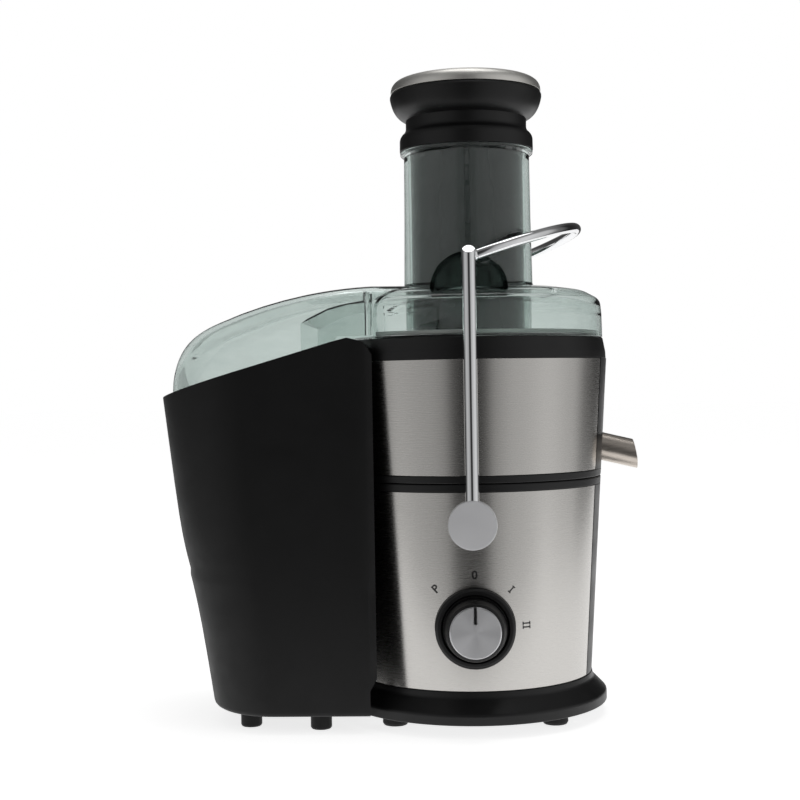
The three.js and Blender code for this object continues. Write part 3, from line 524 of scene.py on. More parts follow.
def spun_material():
    """The knob's face, turned on a lathe: fine rings about the knob's own axis."""
    material = new_material(
        "knob_metal", (0.7, 0.7, 0.715), 0.4, 1.0, Anisotropic=0.95, Anisotropic_Rotation=ACROSS)
    to_centre = (-(AXIS.x + KNOB_X * MM), 0, -KNOB_Z * MM)
    centred = add_node(material, "ShaderNodeMapping", Vector=object_place(material), Location=to_centre)
    flat = add_node(material, "ShaderNodeMapping", Vector=centred.outputs["Vector"], Scale=(1, 0, 1))
    rings = add_node(
        material, "ShaderNodeTexWave", Vector=flat.outputs["Vector"], Scale=900, Distortion=0.6)
    rings.wave_type = "RINGS"
    rings.rings_direction = "SPHERICAL"
    feed(material, spread(material, rings.outputs["Fac"], 0.38, 0.44, 0, 1), "Roughness")
    bump(material, rings.outputs["Fac"], 0.000004, 0.5)
    tangent = add_node(material, "ShaderNodeTangent")
    tangent.direction_type = "RADIAL"
    tangent.axis = "Y"
    feed(material, tangent.outputs["Tangent"], "Tangent")
    return material


def clear_material():
    """Smoky clear plastic with a faint swirl of moulding flow."""
    material = new_material(
        "smoky_clear", (0.83, 0.868, 0.855), 0.03, 0.0, IOR=1.4, Transmission_Weight=1.0)
    flow = stretched_noise(material, 45, (1, 1, 2.5), detail=2)
    tint(material, flow, (0.805, 0.845, 0.832), (0.85, 0.885, 0.872))
    smoke = add_node(material, "ShaderNodeVolumeAbsorption", Color=(0.75, 0.79, 0.777, 1), Density=250)
    output = material.node_tree.nodes["Material Output"]
    material.node_tree.links.new(smoke.outputs["Volume"], output.inputs["Volume"])
    feed(material, spread(material, flow, 0.0, 0.012), "Roughness")
    bump(material, flow, 0.00004, 0.08)
    return material


def sieve_material():
    """Thin steel sheet with fine holes, drawn as near-black spots of painted shade for what shows through
    them, with a bump.
    """
    material = new_material("sieve_sheet", (0.5, 0.5, 0.5), 0.32, 1.0)
    holes = add_node(
        material, "ShaderNodeTexVoronoi", Vector=object_place(material), Scale=620, Randomness=0.35)
    # the holes are painted near black: painted shade for the dark that shows through them, not openings in
    # the mesh
    tint(material, holes.outputs["Distance"], (0.02, 0.02, 0.02), (0.52, 0.52, 0.52), 0.3, 0.4)
    bump(material, holes.outputs["Distance"], 0.0002, 0.6)
    return material


MATERIALS["bright_chrome"] = chrome_material()
MATERIALS["knob_metal"] = spun_material()
MATERIALS["smoky_clear"] = clear_material()
SIEVE_SHEET = sieve_material()
INK = moulded("dial_ink", (0.008, 0.008, 0.008), 0.4, 0.5)

for entry in frame["record"]["subparts"]:
    node_object = frame["nodes"][entry["node"]]
    for slot in node_object.material_slots:
        slot.material = MATERIALS[entry["material_slot"]]
    if not node_object.material_slots:
        node_object.data.materials.append(MATERIALS[entry["material_slot"]])


# ---------------------------------------------------------------- camera, light and floor
CAMERA_PLACE = (-4.37, -933, 209.5)         # from the axis, in millimetres
CAMERA_TURN = (-2.496, -0.639, -0.92)       # yaw, pitch and roll, in degrees
CAMERA_LENS = 65.3


def camera():
    """The photograph's viewpoint: a little left of the axis, at half the juicer's height."""
    yaw, pitch, roll = (math.radians(a) for a in CAMERA_TURN)
    forward = Vector((math.sin(yaw) * math.cos(pitch), math.cos(yaw) * math.cos(pitch), math.sin(pitch)))
    level = Vector((math.cos(yaw), -math.sin(yaw), 0))
    upward = level.cross(forward)
    right = level * math.cos(roll) + upward * math.sin(roll)
    up = upward * math.cos(roll) - level * math.sin(roll)
    data = bpy.data.cameras.new("camera")
    data.lens = CAMERA_LENS
    data.sensor_width = 36
    made = bpy.data.objects.new("camera", data)
    turn = Matrix((right, up, -forward)).transposed().to_4x4()
    made.matrix_world = Matrix.Translation(AXIS + Vector(CAMERA_PLACE) * MM) @ turn
    bpy.context.scene.collection.objects.link(made)
    bpy.context.scene.camera = made


SOFTBOX_PLACE = (0.1, 0.1, 1.7)     # metres
SOFTBOX_SIZE = (1.0, 0.8)
SOFTBOX_POWER = 5


def top_softbox():
    """A weak soft light from above, aimed at the middle of the machine."""
    data = bpy.data.lights.new("top_softbox", "AREA")
    data.shape = "RECTANGLE"
    data.size, data.size_y = SOFTBOX_SIZE
    data.energy = SOFTBOX_POWER
    made = bpy.data.objects.new("top_softbox", data)
    way = Vector((AXIS.x, 0, 0.2)) - Vector(SOFTBOX_PLACE)
    turn = way.to_track_quat("-Z", "Y").to_matrix().to_4x4()
    made.matrix_world = Matrix.Translation(SOFTBOX_PLACE) @ turn
    bpy.context.scene.collection.objects.link(made)


# The light round the object: degrees from the camera's side towards +X, and brightness.
STUDIO = (
    (-180, 0.9), (-170, 0.2), (-150, 0.05), (-118, 0.06), (-94, 0.22), (-64, 0.52), (-36, 0.44), (-22, 0.36),
    (-14, 0.06), (0, 0.02), (12, 0.06), (20, 0.4), (38, 0.56), (70, 0.7), (96, 0.55), (116, 0.14),
    (134, 0.02), (172, 0.06), (180, 0.9),
)
CEILING = 0.2                       # brightness overhead


def studio_world():
    """A dark studio at the camera's side, a broad soft light on each side and a bright strip behind.

    What the camera sees past the object, or through its clear lid, is the plain pale paper.
    """
    world = bpy.data.worlds.new("studio")
    bpy.context.scene.world = world
    world.use_nodes = True

    def mixed(factor, shown, brightness):
        node = add_node(world, "ShaderNodeMix")
        node.data_type = "RGBA"
        plug(world, factor, node.inputs["Factor"])
        plug(world, shown, node.inputs["A"])
        node.inputs["B"].default_value = (brightness, brightness, brightness, 1)
        return node.outputs["Result"]

    direction = add_node(world, "ShaderNodeTexCoord").outputs["Generated"]
    way = add_node(world, "ShaderNodeSeparateXYZ", Vector=direction)
    towards_camera = arithmetic(world, "MULTIPLY", way.outputs["Y"], -1)
    round_angle = arithmetic(world, "ARCTAN2", way.outputs["X"], towards_camera)
    turn = arithmetic(world, "ADD", arithmetic(world, "DIVIDE", round_angle, TURN), 0.5)
    ramp = add_node(world, "ShaderNodeValToRGB", Fac=turn)
    ramp.color_ramp.interpolation = "EASE"
    stops = ramp.color_ramp.elements
    for index, (angle, level) in enumerate(STUDIO):
        place = angle / 360 + 0.5
        stop = stops[0] if index == 0 else stops.new(place)
        stop.position = place
        stop.color = (level, level, level, 1)
    stops.remove(stops[-1])

    overhead = add_node(world, "ShaderNodeMapRange")
    overhead.interpolation_type = "SMOOTHSTEP"
    for name, value in (("From Min", 0.45), ("From Max", 0.85), ("Value", way.outputs["Z"])):
        plug(world, value, overhead.inputs[name])
    room = mixed(overhead.outputs["Result"], ramp.outputs["Color"], CEILING)

    path = add_node(world, "ShaderNodeLightPath").outputs
    seen = arithmetic(world, "MAXIMUM", path["Is Camera Ray"], path["Is Transmission Ray"])
    world.node_tree.links.new(mixed(seen, room, 1), world.node_tree.nodes["Background"].inputs["Color"])


FLOOR_HALF = 6.0                    # half the paper's width at the back, in metres
FLOOR_FRONT_HALF = 0.5              # half its width at its front edge
FLOOR_FRONT = 0.24                  # how far it comes forward


def studio():
    scene = bpy.context.scene
    scene.view_settings.view_transform = "Standard"
    studio_world()
    top_softbox()

    bm = bmesh.new()
    bmesh.ops.create_grid(bm, x_segments=1, y_segments=1, size=FLOOR_HALF)
    for vertex in bm.verts:
        vertex.co.y += FLOOR_HALF - FLOOR_FRONT
        if vertex.co.y < 0:
            vertex.co.x *= FLOOR_FRONT_HALF / FLOOR_HALF
    mesh = bpy.data.meshes.new("floor")
    bm.to_mesh(mesh)
    bm.free()
    floor = bpy.data.objects.new("floor", mesh)
    scene.collection.objects.link(floor)
    floor.location.z = cad_box[0][2]
    paper = new_material(
        "floor", (0.9, 0.9, 0.9), 0.6, 0.0, Emission_Color=(1, 1, 1, 1), Emission_Strength=0.78,
        Specular_IOR_Level=0.0)
    mesh.materials.append(paper)


camera()
studio()


# ---------------------------------------------------------------- drum
def cross_rod(radius, z, start=-100, end=100):
    profile = [(0, start), (radius, start), (radius, end), (0, end)]
    return turned(profile, SMALL_ROUND, axis="Y", centre=(0, 0, z))


def drum_holes():
    """Tools for the dial's hole, the pivot pins' holes and the cord's hole."""
    radius = BEZEL_RADIUS + GAP
    dial = turned(
        [(0, -100), (radius, -100), (radius, -60), (0, -60)], MEDIUM_ROUND, axis="Y",
        centre=(KNOB_X, 0, KNOB_Z))
    return [dial, cross_rod(PIN_HOLE, PIVOT_Z), cross_rod(6.3, CORD_Z, 60, 95)]


def base_shell():
    low, high = LOWER_PANEL
    inside = BED + 2.5
    profile = rounded([
        (80.6, FOOT_HEIGHT, 0.3),
        (FLANGE_RADIUS, FOOT_HEIGHT, 0.8),
        (FLANGE_RADIUS, 14.2, 3),
        (76.0, 22.6, 4),
        (75.2, low, 0.4),
        (drum_radius(low) - BED, low),
        (drum_radius(high) - BED, high),
        (drum_radius(high) + 0.25, high, 0.4),
        (82.4, BASE_TOP, 0.8),
        (77.6, BASE_TOP, 0.3),
        (77.2, 147.6),
        (15, 147.6),
        (15, 144.8),
        (75, 144.8, 2),
        (drum_radius(low) - inside, low - 1.7, 2),
        (80.6, 12),
    ])
    made = plain_object("drum_base", turned(profile))
    cut(made, *drum_holes())
    settle(made, ["base_shell"], "housing", "housing_black")
    drum_spine("drum_base_spine", LOWER_PANEL)


def drum_spine(name, panel):
    """Plastic that stands between the ends of a steel skin, under the spout."""
    low, high = panel
    half = SPINE_HALF_ANGLE - GAP
    profile = [
        (drum_radius(low) - BED - 0.6, low + 0.05),
        (drum_radius(low) + 0.2, low + 0.05),
        (drum_radius(high) + 0.2, high - 0.05),
        (drum_radius(high) - BED - 0.6, high - 0.05),
    ]
    made = plain_object(name, turned(profile, 40, -half, half))
    if panel == UPPER_PANEL:
        cut(made, spout_core(SPOUT_RADIUS + 0.25, 66, 100))
    bevelled(made, 0.35, 3)
    settle(made, [], "housing", "housing_black")


def steel_skin(name, node, panel, tools):
    """Sheet steel round the drum, open where the plastic stands between its ends."""
    bottom, top = panel[0] + GAP, panel[1] - GAP
    profile = rounded([
        (drum_radius(bottom) - SKIN, bottom, 0.2),
        (drum_radius(bottom), bottom, 0.2),
        (drum_radius(top), top, 0.2),
        (drum_radius(top) - SKIN, top, 0.2),
    ], 3)
    half = SPINE_HALF_ANGLE + 0.1
    made = plain_object(name, turned(profile, 2 * ROUND, half, 360 - half))
    cut(made, *tools)
    settle(made, [node], "housing", "brushed_steel")


def pulp_gate():
    """The break in the bowl's raised rim, under the chute."""
    return box_mesh((-95, -GATE_HALF_WIDTH, BOWL_TOP), (-50, GATE_HALF_WIDTH, 246))


def bowl():
    low, high = UPPER_PANEL
    profile = rounded([
        (33, 157.5, 1),
        (76, 157.5, 1),
        (78, BOWL_BOTTOM, 0.3),
        (82.4, BOWL_BOTTOM, 0.8),
        (82.75, low, 0.4),
        (drum_radius(low) - BED, low),
        (drum_radius(high) - BED, high),
        (86.6, high, 0.4),
        (86.4, 228, 6),
        (84.75, BOWL_TOP, 0.5),
        (81.7, BOWL_TOP, 0.3),
        (80.9, BOWL_RIM, 0.5),
        (78.9, BOWL_RIM, 0.5),
        (76.4, BOWL_FLOOR, 3),
        (36, BOWL_FLOOR, 3),
        (26.5, TOWER_TOP, 1.5),
        (TOWER_HOLE, TOWER_TOP, 0.4),
        (TOWER_HOLE, 176),
        (23.5, 176),
    ])
    made = plain_object("juice_bowl", turned(profile))
    cut(made, spout_core(SPOUT_RADIUS + 0.25, 66, 100), pulp_gate())
    settle(made, ["juice_collector", "bowl_floor"], "housing", "housing_black")
    drum_spine("juice_bowl_spine", UPPER_PANEL)


def spout_centre(x):
    return Vector((x, 0, SPOUT_ROOT_Z - (x - SPOUT_ROOT_X) * SPOUT_SLOPE))


def spout_core(radius, start, end):
    return rod(spout_centre(start), spout_centre(end), radius)


def spout():
    """A thin tube cut off obliquely, its lip slightly rounded."""
    lip = [(106.2, 150), (105.4, 160), (103.2, 172.6), (102.4, 182)]
    along = (spout_centre(1) - spout_centre(0)).normalized()
    up = along.cross(Vector((0, 1, 0))).normalized()
    if up.z < 0:
        up = -up
    across = Vector((0, 1, 0))

    def ring(radius, start=None, back=0.0):
        out = []
        for j in range(MEDIUM_ROUND):
            angle = TURN * j / MEDIUM_ROUND
            offset = (across * math.cos(angle) + up * math.sin(angle)) * radius
            if start is not None:
                out.append(spout_centre(start) + offset)
                continue
            reach = 104.0
            for _ in range(12):
                point = spout_centre(reach) + offset
                for (xa, za), (xb, zb) in zip(lip, lip[1:]):
                    if point.z <= zb or (xb, zb) == lip[-1]:
                        edge = xa + (xb - xa) * (point.z - za) / (zb - za)
                        break
                reach += edge - point.x
            out.append(spout_centre(reach - back) + offset)
        return out

    inner = SPOUT_RADIUS - SPOUT_WALL
    rings = [
        ring(inner, 75), ring(SPOUT_RADIUS, 75),
        ring(SPOUT_RADIUS, back=0.25), ring(SPOUT_RADIUS - 0.12, back=0.07), ring(SPOUT_RADIUS - 0.3),
        ring(inner + 0.3), ring(inner + 0.12, back=0.07), ring(inner, back=0.25),
    ]
    bm = bmesh.new()
    made_rings = [[bm.verts.new(p) for p in r] for r in rings]
    grid_faces(bm, made_rings, True, True)
    bmesh.ops.recalc_face_normals(bm, faces=bm.faces)
    settle(plain_object("spout_tube", bm), ["spout"], "housing", "spout_steel", 50)


def feet():
    for corner in CORNERS:
        node = f"base_foot_{corner}"
        x, y, _ = centre_of(node)
        top = extent(node)[1].z
        profile = rounded([(0, 0), (7, 0, 0.8), (7.95, 1.5, 1), (7.4, top, 0.3), (0, top)], 4)
        made = plain_object(f"drum_foot_{corner}", turned(profile, SMALL_ROUND, centre=(x, y, 0)))
        settle(made, [node], "housing", "foot_rubber")


def gland():
    """The cord's entry at the back: a ribbed rubber nose."""
    bore, flange, body, waist = 3.2, 9, 6, 5.2
    back, seat, end = 68.5, 70.5, 81
    points = [(bore, back), (flange, back, 0.3), (flange, seat, 0.3), (body, seat, 0.3)]
    for i in range(4):
        y = seat + 2 + i * 2
        points += [(body, y, 0.2), (waist, y + 0.4, 0.2), (waist, y + 1.1, 0.2), (body - 0.05, y + 1.5, 0.2)]
    points += [(waist, end, 0.8), (bore, end, 0.4)]
    nose = turned(rounded(points, 3), SMALL_ROUND, axis="Y", centre=(0, 0, CORD_Z))
    made = plain_object("cord_entry", nose)
    settle(made, ["cord_gland"], "housing", "foot_rubber")


base_shell()
steel_skin("lower_skin", "lower_steel_panel", LOWER_PANEL, drum_holes())
steel_skin("upper_skin", "upper_steel_panel", UPPER_PANEL, [])
bowl()
spout()
feet()
gland()


def plate_screw(corner):
    """A cross-headed screw, and the tool for its hole in the plate."""
    node = f"plate_screw_{corner}"
    bottom, top = extent(node)[0].z, extent(node)[1].z
    x, y, _ = centre_of(node)
    screw = plain_object(f"screw_{corner}", turned(rounded([
        (0, bottom), (2.4, bottom + 0.1, 0.6), (3.2, bottom + 1, 0.5), (3.2, bottom + 2, 0.2),
        (1.6, bottom + 2), (1.6, top, 0.4), (0, top),
    ], 3), SMALL_ROUND, centre=(x, y, 0)))
    for across, along in ((0.4, 1.7), (1.7, 0.4)):
        cut(screw, box_mesh((x - across, y - along, bottom - 1), (x + across, y + along, bottom + 1.1)))
    settle(screw, [node], "housing", "bare_steel")
    low, high = extent("base_plate")[0].z - 1, extent("base_plate")[1].z + 1
    return turned([(0, low), (1.9, low), (1.9, high), (0, high)], SMALL_ROUND, centre=(x, y, 0))


def underside():
    """The plate under the drum, with its air slots and its four screws."""
    low, high = extent("base_plate")
    made = plain_object("drum_plate", turned(rounded([
        (0, low.z), (high.x, low.z, 0.5), (high.x, high.z, 0.5), (0, high.z),
    ])))
    reach, half_width, pitch = 24, 2, 10
    tools = []
    for i in range(-2, 3):
        near, far = i * pitch - half_width, i * pitch + half_width
        slot = rounded([(-reach, near, 1.9), (reach, near, 1.9), (reach, far, 1.9), (-reach, far, 1.9)])
        tools.append(prism(slot, low.z - 1, high.z + 1))
    tools += [plate_screw(corner) for corner in CORNERS]
    cut(made, *tools)
    bevelled(made, 0.3, 2)
    settle(made, ["base_plate"], "housing", "inner_moulding")


underside()


# ---------------------------------------------------------------- knob and dial
def facing(name, profile):
    """A piece turned about the knob's axis."""
    return plain_object(name, turned(profile, ROUND, axis="Y", centre=(KNOB_X, 0, KNOB_Z)))


def key_shape(half_width, low, high, back, front):
    """An upright bar with a round lower end on the knob's face."""
    outline = rounded([
        (-half_width, low, half_width - 0.05), (half_width, low, half_width - 0.05), (half_width, high),
        (-half_width, high),
    ], 6)
    return prism([(x + KNOB_X, z + KNOB_Z) for x, z in outline], back, front, "Y")


def controls():
    bezel_front, knob_front = -BEZEL_FACE, -KNOB_FACE
    made = facing("dial_bezel", rounded([
        (4, -BEZEL_BACK),
        (BEZEL_RADIUS, -BEZEL_BACK),
        (BEZEL_RADIUS, bezel_front + 1.2, 1.2),
        (BEZEL_RADIUS - 1.4, bezel_front, 1.4),
        (20.2, bezel_front, 0.5),
        (19.4, bezel_front + BEZEL_RECESS, 0.3),
        (4, bezel_front + BEZEL_RECESS),
    ]))
    settle(made, ["escutcheon"], "housing", "housing_black")

    base = -BEZEL_FACE + 1.9
    made = facing("knob_skirt", rounded([
        (3.3, base),
        (18.5, base, 0.4),
        (18.3, knob_front + 8, 2),
        (16.8, knob_front + 1.6, 0.8),
        (15.3, knob_front + 0.8, 0.3),
        (15.3, knob_front + 2),
        (0, knob_front + 2),
        (0, knob_front + 5),
        (3.3, knob_front + 5),
    ]))
    settle(made, ["control_knob"], "knob", "housing_black")

    made = facing("knob_disc", rounded([
        (0, knob_front + 1.7),
        (15.2, knob_front + 1.7, 0.1),
        (15.2, knob_front + 0.75, 0.1),
        (14.5, knob_front, 0.1),
        (0, knob_front + 0.12),
    ], 3))
    cut(made, key_shape(1.1, 4.9, 17, knob_front - 1, knob_front + 1.5))
    settle(made, ["knob_face"], "knob", "knob_metal", 25)

    inlay = key_shape(0.8, 5.25, 14.5, knob_front + 0.2, knob_front + 1.4)
    made = plain_object("knob_inlay", inlay)
    bevelled(made, 0.15, 2)
    settle(made, ["knob_pointer"], "knob", "housing_black")


def lettering(text, size):
    """A flat letter as a bmesh, thickened a little."""
    curve = bpy.data.curves.new(text, "FONT")
    curve.body = text
    curve.size = size
    curve.offset = 0.16
    curve.align_x = "CENTER"
    curve.align_y = "CENTER"
    curve.resolution_u = 6
    made = bpy.data.objects.new(text, curve)
    bpy.context.scene.collection.objects.link(made)
    mesh = bpy.data.meshes.new_from_object(made.evaluated_get(bpy.context.evaluated_depsgraph_get()))
    bpy.data.objects.remove(made)
    bm = bmesh.new()
    bm.from_mesh(mesh)
    bpy.data.meshes.remove(mesh)
    return bm


def numeral(count, height=4.7, width=2.1, stem=0.85, serif=0.65):
    """One or two upright strokes with serifs."""
    bm = bmesh.new()
    for i in range(count):
        x = (i - (count - 1) / 2) * (width + 0.2)
        half = [(width / 2, -height / 2), (width / 2, serif - height / 2), (stem / 2, serif - height / 2)]
        right = half + [(a, -b) for a, b in reversed(half)]
        outline = right + [(-a, b) for a, b in reversed(right)]
        bm.faces.new([bm.verts.new((x + a, b, 0)) for a, b in outline])
    return bm


def dial_mark(name, bm, angle, distance):
    """A printed mark, laid on the drum's curve."""
    turn = math.radians(angle)
    for vertex in bm.verts:
        x, z = vertex.co.x, vertex.co.y
        across = KNOB_X + distance * math.sin(turn) + x * math.cos(turn) + z * math.sin(turn)
        height = KNOB_Z + distance * math.cos(turn) - x * math.sin(turn) + z * math.cos(turn)
        depth = -math.sqrt(drum_radius(height) ** 2 - across ** 2)
        vertex.co = (across, depth - 0.02, height)
    printed = bmesh.ops.extrude_face_region(bm, geom=bm.faces[:])
    for vertex in printed["geom"]:
        if isinstance(vertex, bmesh.types.BMVert):
            vertex.co.y -= 0.05
    bmesh.ops.recalc_face_normals(bm, faces=bm.faces)
    settle(plain_object(name, bm), [], "housing", "housing_black", finish=INK)


controls()
dial_mark("mark_pulse", lettering("P", 7), -45, 32.6)
dial_mark("mark_zero", lettering("0", 7), 0, 31.4)
dial_mark("mark_one", numeral(1), 44, 31.2)
dial_mark("mark_two", numeral(2), 89, 30.4)


# ---------------------------------------------------------------- lid
CHUTE_ROOT = -30                    # where the chute starts, inside the dome
CHUTE_TIP = -188
CHUTE_ROOF = 269
CHUTE_HALF_WIDTH = 67.5
CHUTE_CORNER = 52


def chute_roof(inset):
    """The roof line of the chute as (x, z) points, from the drum to the chute's tip."""
    tip = CHUTE_TIP + inset
    top = CHUTE_ROOF - inset
    roof = [(CHUTE_ROOT, top), (-60, top)]
    roof += bezier([(-60, top), (-108, 265.5 - inset), (-145, 250.5 - inset)], 20)
    roof += bezier([(-145, 250.5 - inset), (-165, 243.5 - inset), (tip, 235 - inset), (tip, 205)], 28)
    return roof


def chute_plan(inset):
    """The near half of the chute's plan outline, from the drum to the middle of the tip."""
    side = CHUTE_HALF_WIDTH - inset
    tip = CHUTE_TIP + inset
    corner = CHUTE_CORNER - inset
    points = [(CHUTE_ROOT, -57 + inset), (-58, -60.5 + inset)]
    points += bezier([(-58, -60.5 + inset), (-76, -side), (-100, -side)], 10)
    points += [(-112, -side), (-124, -side)]
    points += arc((tip + corner, -side + corner), corner, -90, -180, 30)
    points += [(tip, (-side + corner) * (1 - k / 4)) for k in range(1, 4)]
    return points


def chute(inset, shoulder=9.0, steps=8):
    """The chute as a closed form: upright walls, a rounded shoulder and a roof that falls to the tip."""
    roof = chute_roof(inset)

    def roof_at(x):
        for (xa, za), (xb, zb) in zip(roof, roof[1:]):
            if xb <= x <= xa and xa > xb:
                return za + (zb - za) * (x - xa) / (xb - xa)
        return roof[-1][1]

    near = chute_plan(inset)
    normals = []
    for i, point in enumerate(near):
        a = Vector(near[max(i - 1, 0)])
        b = Vector(near[min(i + 1, len(near) - 1)])
        way = (b - a).normalized()
        normals.append(Vector((way.y, -way.x)))
    normals[0] = Vector((0, 1))
    normals = [n if n.dot(Vector((-110, 0)) - Vector(p)) > 0 else -n for n, p in zip(normals, near)]
    radius = max(shoulder - inset * 0.6, 3)
    rings = []
    levels = [None] + [k / steps for k in range(steps + 1)]
    for level in levels:
        ring = []
        angle = 0 if level is None else level * math.pi / 2
        inward = radius * (1 - math.cos(angle))
        drop = radius * (1 - math.sin(angle))
        for point, normal in zip(near, normals):
            x = point[0] + normal.x * inward
            y = point[1] + normal.y * inward
            z = 180 if level is None else roof_at(min(x, CHUTE_ROOT)) - drop
            ring.append(Vector((x, y, z)))
        rings.append(ring + [Vector((p.x, -p.y, p.z)) for p in reversed(ring)])
    bm = bmesh.new()
    made = [[bm.verts.new(p) for p in ring] for ring in rings]
    grid_faces(bm, made, True)
    bm.faces.new(made[0])
    top = made[-1]
    half = len(near)
    strips = 16
    across = []
    for i in range(half):
        a, b = top[i], top[-1 - i]
        line = [a]
        for k in range(1, strips):
            line.append(bm.verts.new(a.co.lerp(b.co, k / strips)))
        across.append(line + [b])
    grid_faces(bm, across, False)
    bm.faces.new(across[0])
    bm.faces.new(across[-1])
    bmesh.ops.remove_doubles(bm, verts=bm.verts, dist=1e-4)
    bmesh.ops.recalc_face_normals(bm, faces=bm.faces)
    return bm


HUMP_Z = 264.6
HUMP_RADIUS = 23.2
HUMP_ROOT, HUMP_SPLIT, HUMP_FRONT = 36, 61.5, 72    # the front layer starts at the split


def hump(side):
    """A half disc beside the tube that the bail's stub locks over; lid() cuts its front layer away for the
    stub.
    """
    outline = arc((0, HUMP_Z), HUMP_RADIUS, -14, 194, 40)
    near, far = sorted((side * HUMP_ROOT, side * HUMP_FRONT))
    return prism(outline, near, far, "Y")


def hump_hollow(side):
    """The hollow under a hump's rear half, open to the dome."""
    radius = HUMP_RADIUS - LID_WALL
    outline = [(radius, 258)] + arc((0, HUMP_Z), radius, 0, 180, 32) + [(-radius, 258)]
    near, far = sorted((side * 43.5, side * 59.1))
    return prism(outline, near, far, "Y")


def throat():
    """The short inner channel that leads pulp out of the dome, and the web it hangs from."""
    top = [(-74, 259.2), (-86, 256), (-98, 250.2), (-102.6, 247)]
    outline = [
        (-62, 239), (-62, 267.5), (-64.4, 267.5), (-64.4, 261), *top, (-102.6, 226), (-84, 231), (-81, 239),
    ]
    made = plain_object("throat", prism(outline, -52, 52, "Y"))
    hollow = [(-55, 220), (-55, 260), (-74, 258.1), (-86, 254.9), (-98, 249.1), (-110, 244), (-110, 220)]
    cut(made, prism(hollow, -51.1, 51.1, "Y"))
    bm = bmesh.new()
    bm.from_mesh(made.data)
    bm.transform((Matrix.Translation(AXIS) @ Matrix.Scale(MM, 4)).inverted())
    bpy.data.objects.remove(made)
    return bm


def corner_rib(side):
    """The thick moulded corner where the dome meets the chute."""
    return rod((-60.6, side * 59.2, 239), (-60.6, side * 59.2, 264.5), 2.6)


def hump_room(side):
    """The arc that the bail's stub sweeps through the front layer of a hump."""
    reach = BAIL_TOP - 2 * BAIL_ROD - PIVOT_Z - 0.6
    near, far = sorted((side * HUMP_SPLIT, side * (HUMP_FRONT + 5)))
    start = math.degrees(math.acos(-(BAIL_ROD + 0.5) / reach))
    outline = arc((0, PIVOT_Z), reach, start, 72, 24)
    outline += [(52, PIVOT_Z + 175), (-(BAIL_ROD + 0.5), PIVOT_Z + 175)]
    return prism(outline, near, far, "Y")


def lid():
    """Dome, feed tube, chute and humps as one clear moulding."""
    outside = turned(rounded([
        (0, LID_BOTTOM),
        (84.6, LID_BOTTOM, 0.4),
        (84.3, 252, 12),
        (83.4, 260.8, 6.5),
        (73.5, 266.3, 14),
        (62, 268.2, 8),
        (41, 270, 3),
        (40.3, 315),
        (40, 353.4, 0.8),
        (42.2, 355.2, 0.6),
        (42.4, TUBE_TOP, 0.4),
        (0, TUBE_TOP),
    ], 8))
    inside = turned(rounded([
        (0, 220),
        (82.2, 220),
        (81.9, 250, 10),
        (80.9, 258.6, 5.5),
        (72.8, 263.9, 12),
        (61.8, 265.8, 8),
        (41, 267.4),
        (0, 267.4),
    ], 8))
    inner_tube = turned(rounded([
        (0, TUBE_BOTTOM), (TUBE_BORE + 2.4, TUBE_BOTTOM, 1), (TUBE_BORE + 2.8, 269), (0, 269),
    ]))
    foot, mouth = TUBE_BOTTOM - 5, TUBE_TOP + 1
    bore = turned(rounded([
        (0, foot), (TUBE_BORE, foot), (TUBE_BORE, 350, 6), (39.8, mouth), (0, mouth),
    ]))
    hem, far = 252, -260
    below = prism([(far, 100), (0, 100), (0, hem), (far, hem + far * RIM_SLOPE)], -100, 100, "Y")
    near_drum = turned([(0, 150), (95, 150), (95, LID_BOTTOM), (0, LID_BOTTOM)])
    made = plain_object("lid_shell", outside)
    join(made, chute(0), hump(-1), hump(1))
    cut(made, hump_room(-1), hump_room(1), below, near_drum, inside, chute(LID_WALL))
    cut(made, hump_hollow(-1), hump_hollow(1))
    join(made, throat(), corner_rib(-1), corner_rib(1), inner_tube)
    cut(made, bore)
    join(made, box_mesh((-0.9, -TUBE_BORE - 0.6, TUBE_BOTTOM + 6), (0.9, -34.8, 340)))
    settle(made, ["lid", "feed_tube"], "housing", "smoky_clear", 28)


lid()


def gasket():
    """The soft seal on the bowl's rim, broken under the chute like the rim itself."""
    low, high = extent("lid_gasket")
    profile = rounded([(79, low.z, 0.6), (81.2, low.z, 0.6), (81.2, high.z, 1), (79, high.z, 1)], 4)
    half = 180 - math.degrees(math.asin(GATE_HALF_WIDTH / 80))
    made = plain_object("lid_seal", turned(profile, 2 * MEDIUM_ROUND, -half, half))
    settle(made, ["lid_gasket"], "housing", "clear_silicone")


def sieve():
    low, high = extent("filter_basket")
    sheet = 0.8
    made = plain_object("sieve_basket", turned(rounded([
        (14, low.z),
        (52, low.z, 1.6),
        (73, high.z - 2, 1.2),
        (76, high.z - 2, 0.6),
        (76, high.z, 0.9),
        (71.4, high.z, 0.9),
        (51.3, low.z + sheet, 0.9),
        (14, low.z + sheet),
    ])))
    settle(made, ["filter_basket"], "rotor", "bare_steel", finish=SIEVE_SHEET)

    low, high = extent("grater_disc")
    top = low.z + 1.2
    made = plain_object("grater_plate", turned(rounded([
        (0, low.z), (46, low.z, 0.3), (46, top, 0.5), (0, top),
    ]), MEDIUM_ROUND))
    teeth = bmesh.new()
    for ring, count in ((18, 6), (28, 9), (38, 12)):
        for i in range(count):
            angle = math.radians((i + ring / 8) * 360 / count)
            place = Vector((ring * math.cos(angle), ring * math.sin(angle), top + 0.9))
            turn = Matrix.Rotation(angle, 4, "Z")
            bmesh.ops.create_cone(
                teeth, cap_ends=True, segments=8, radius1=1.6, radius2=0.2, depth=2.2,
                matrix=Matrix.Translation(place) @ turn)
    join(made, teeth)
    bevelled(made, 0.08, 2)
    settle(made, ["grater_disc"], "rotor", "bare_steel")


gasket()
sieve()


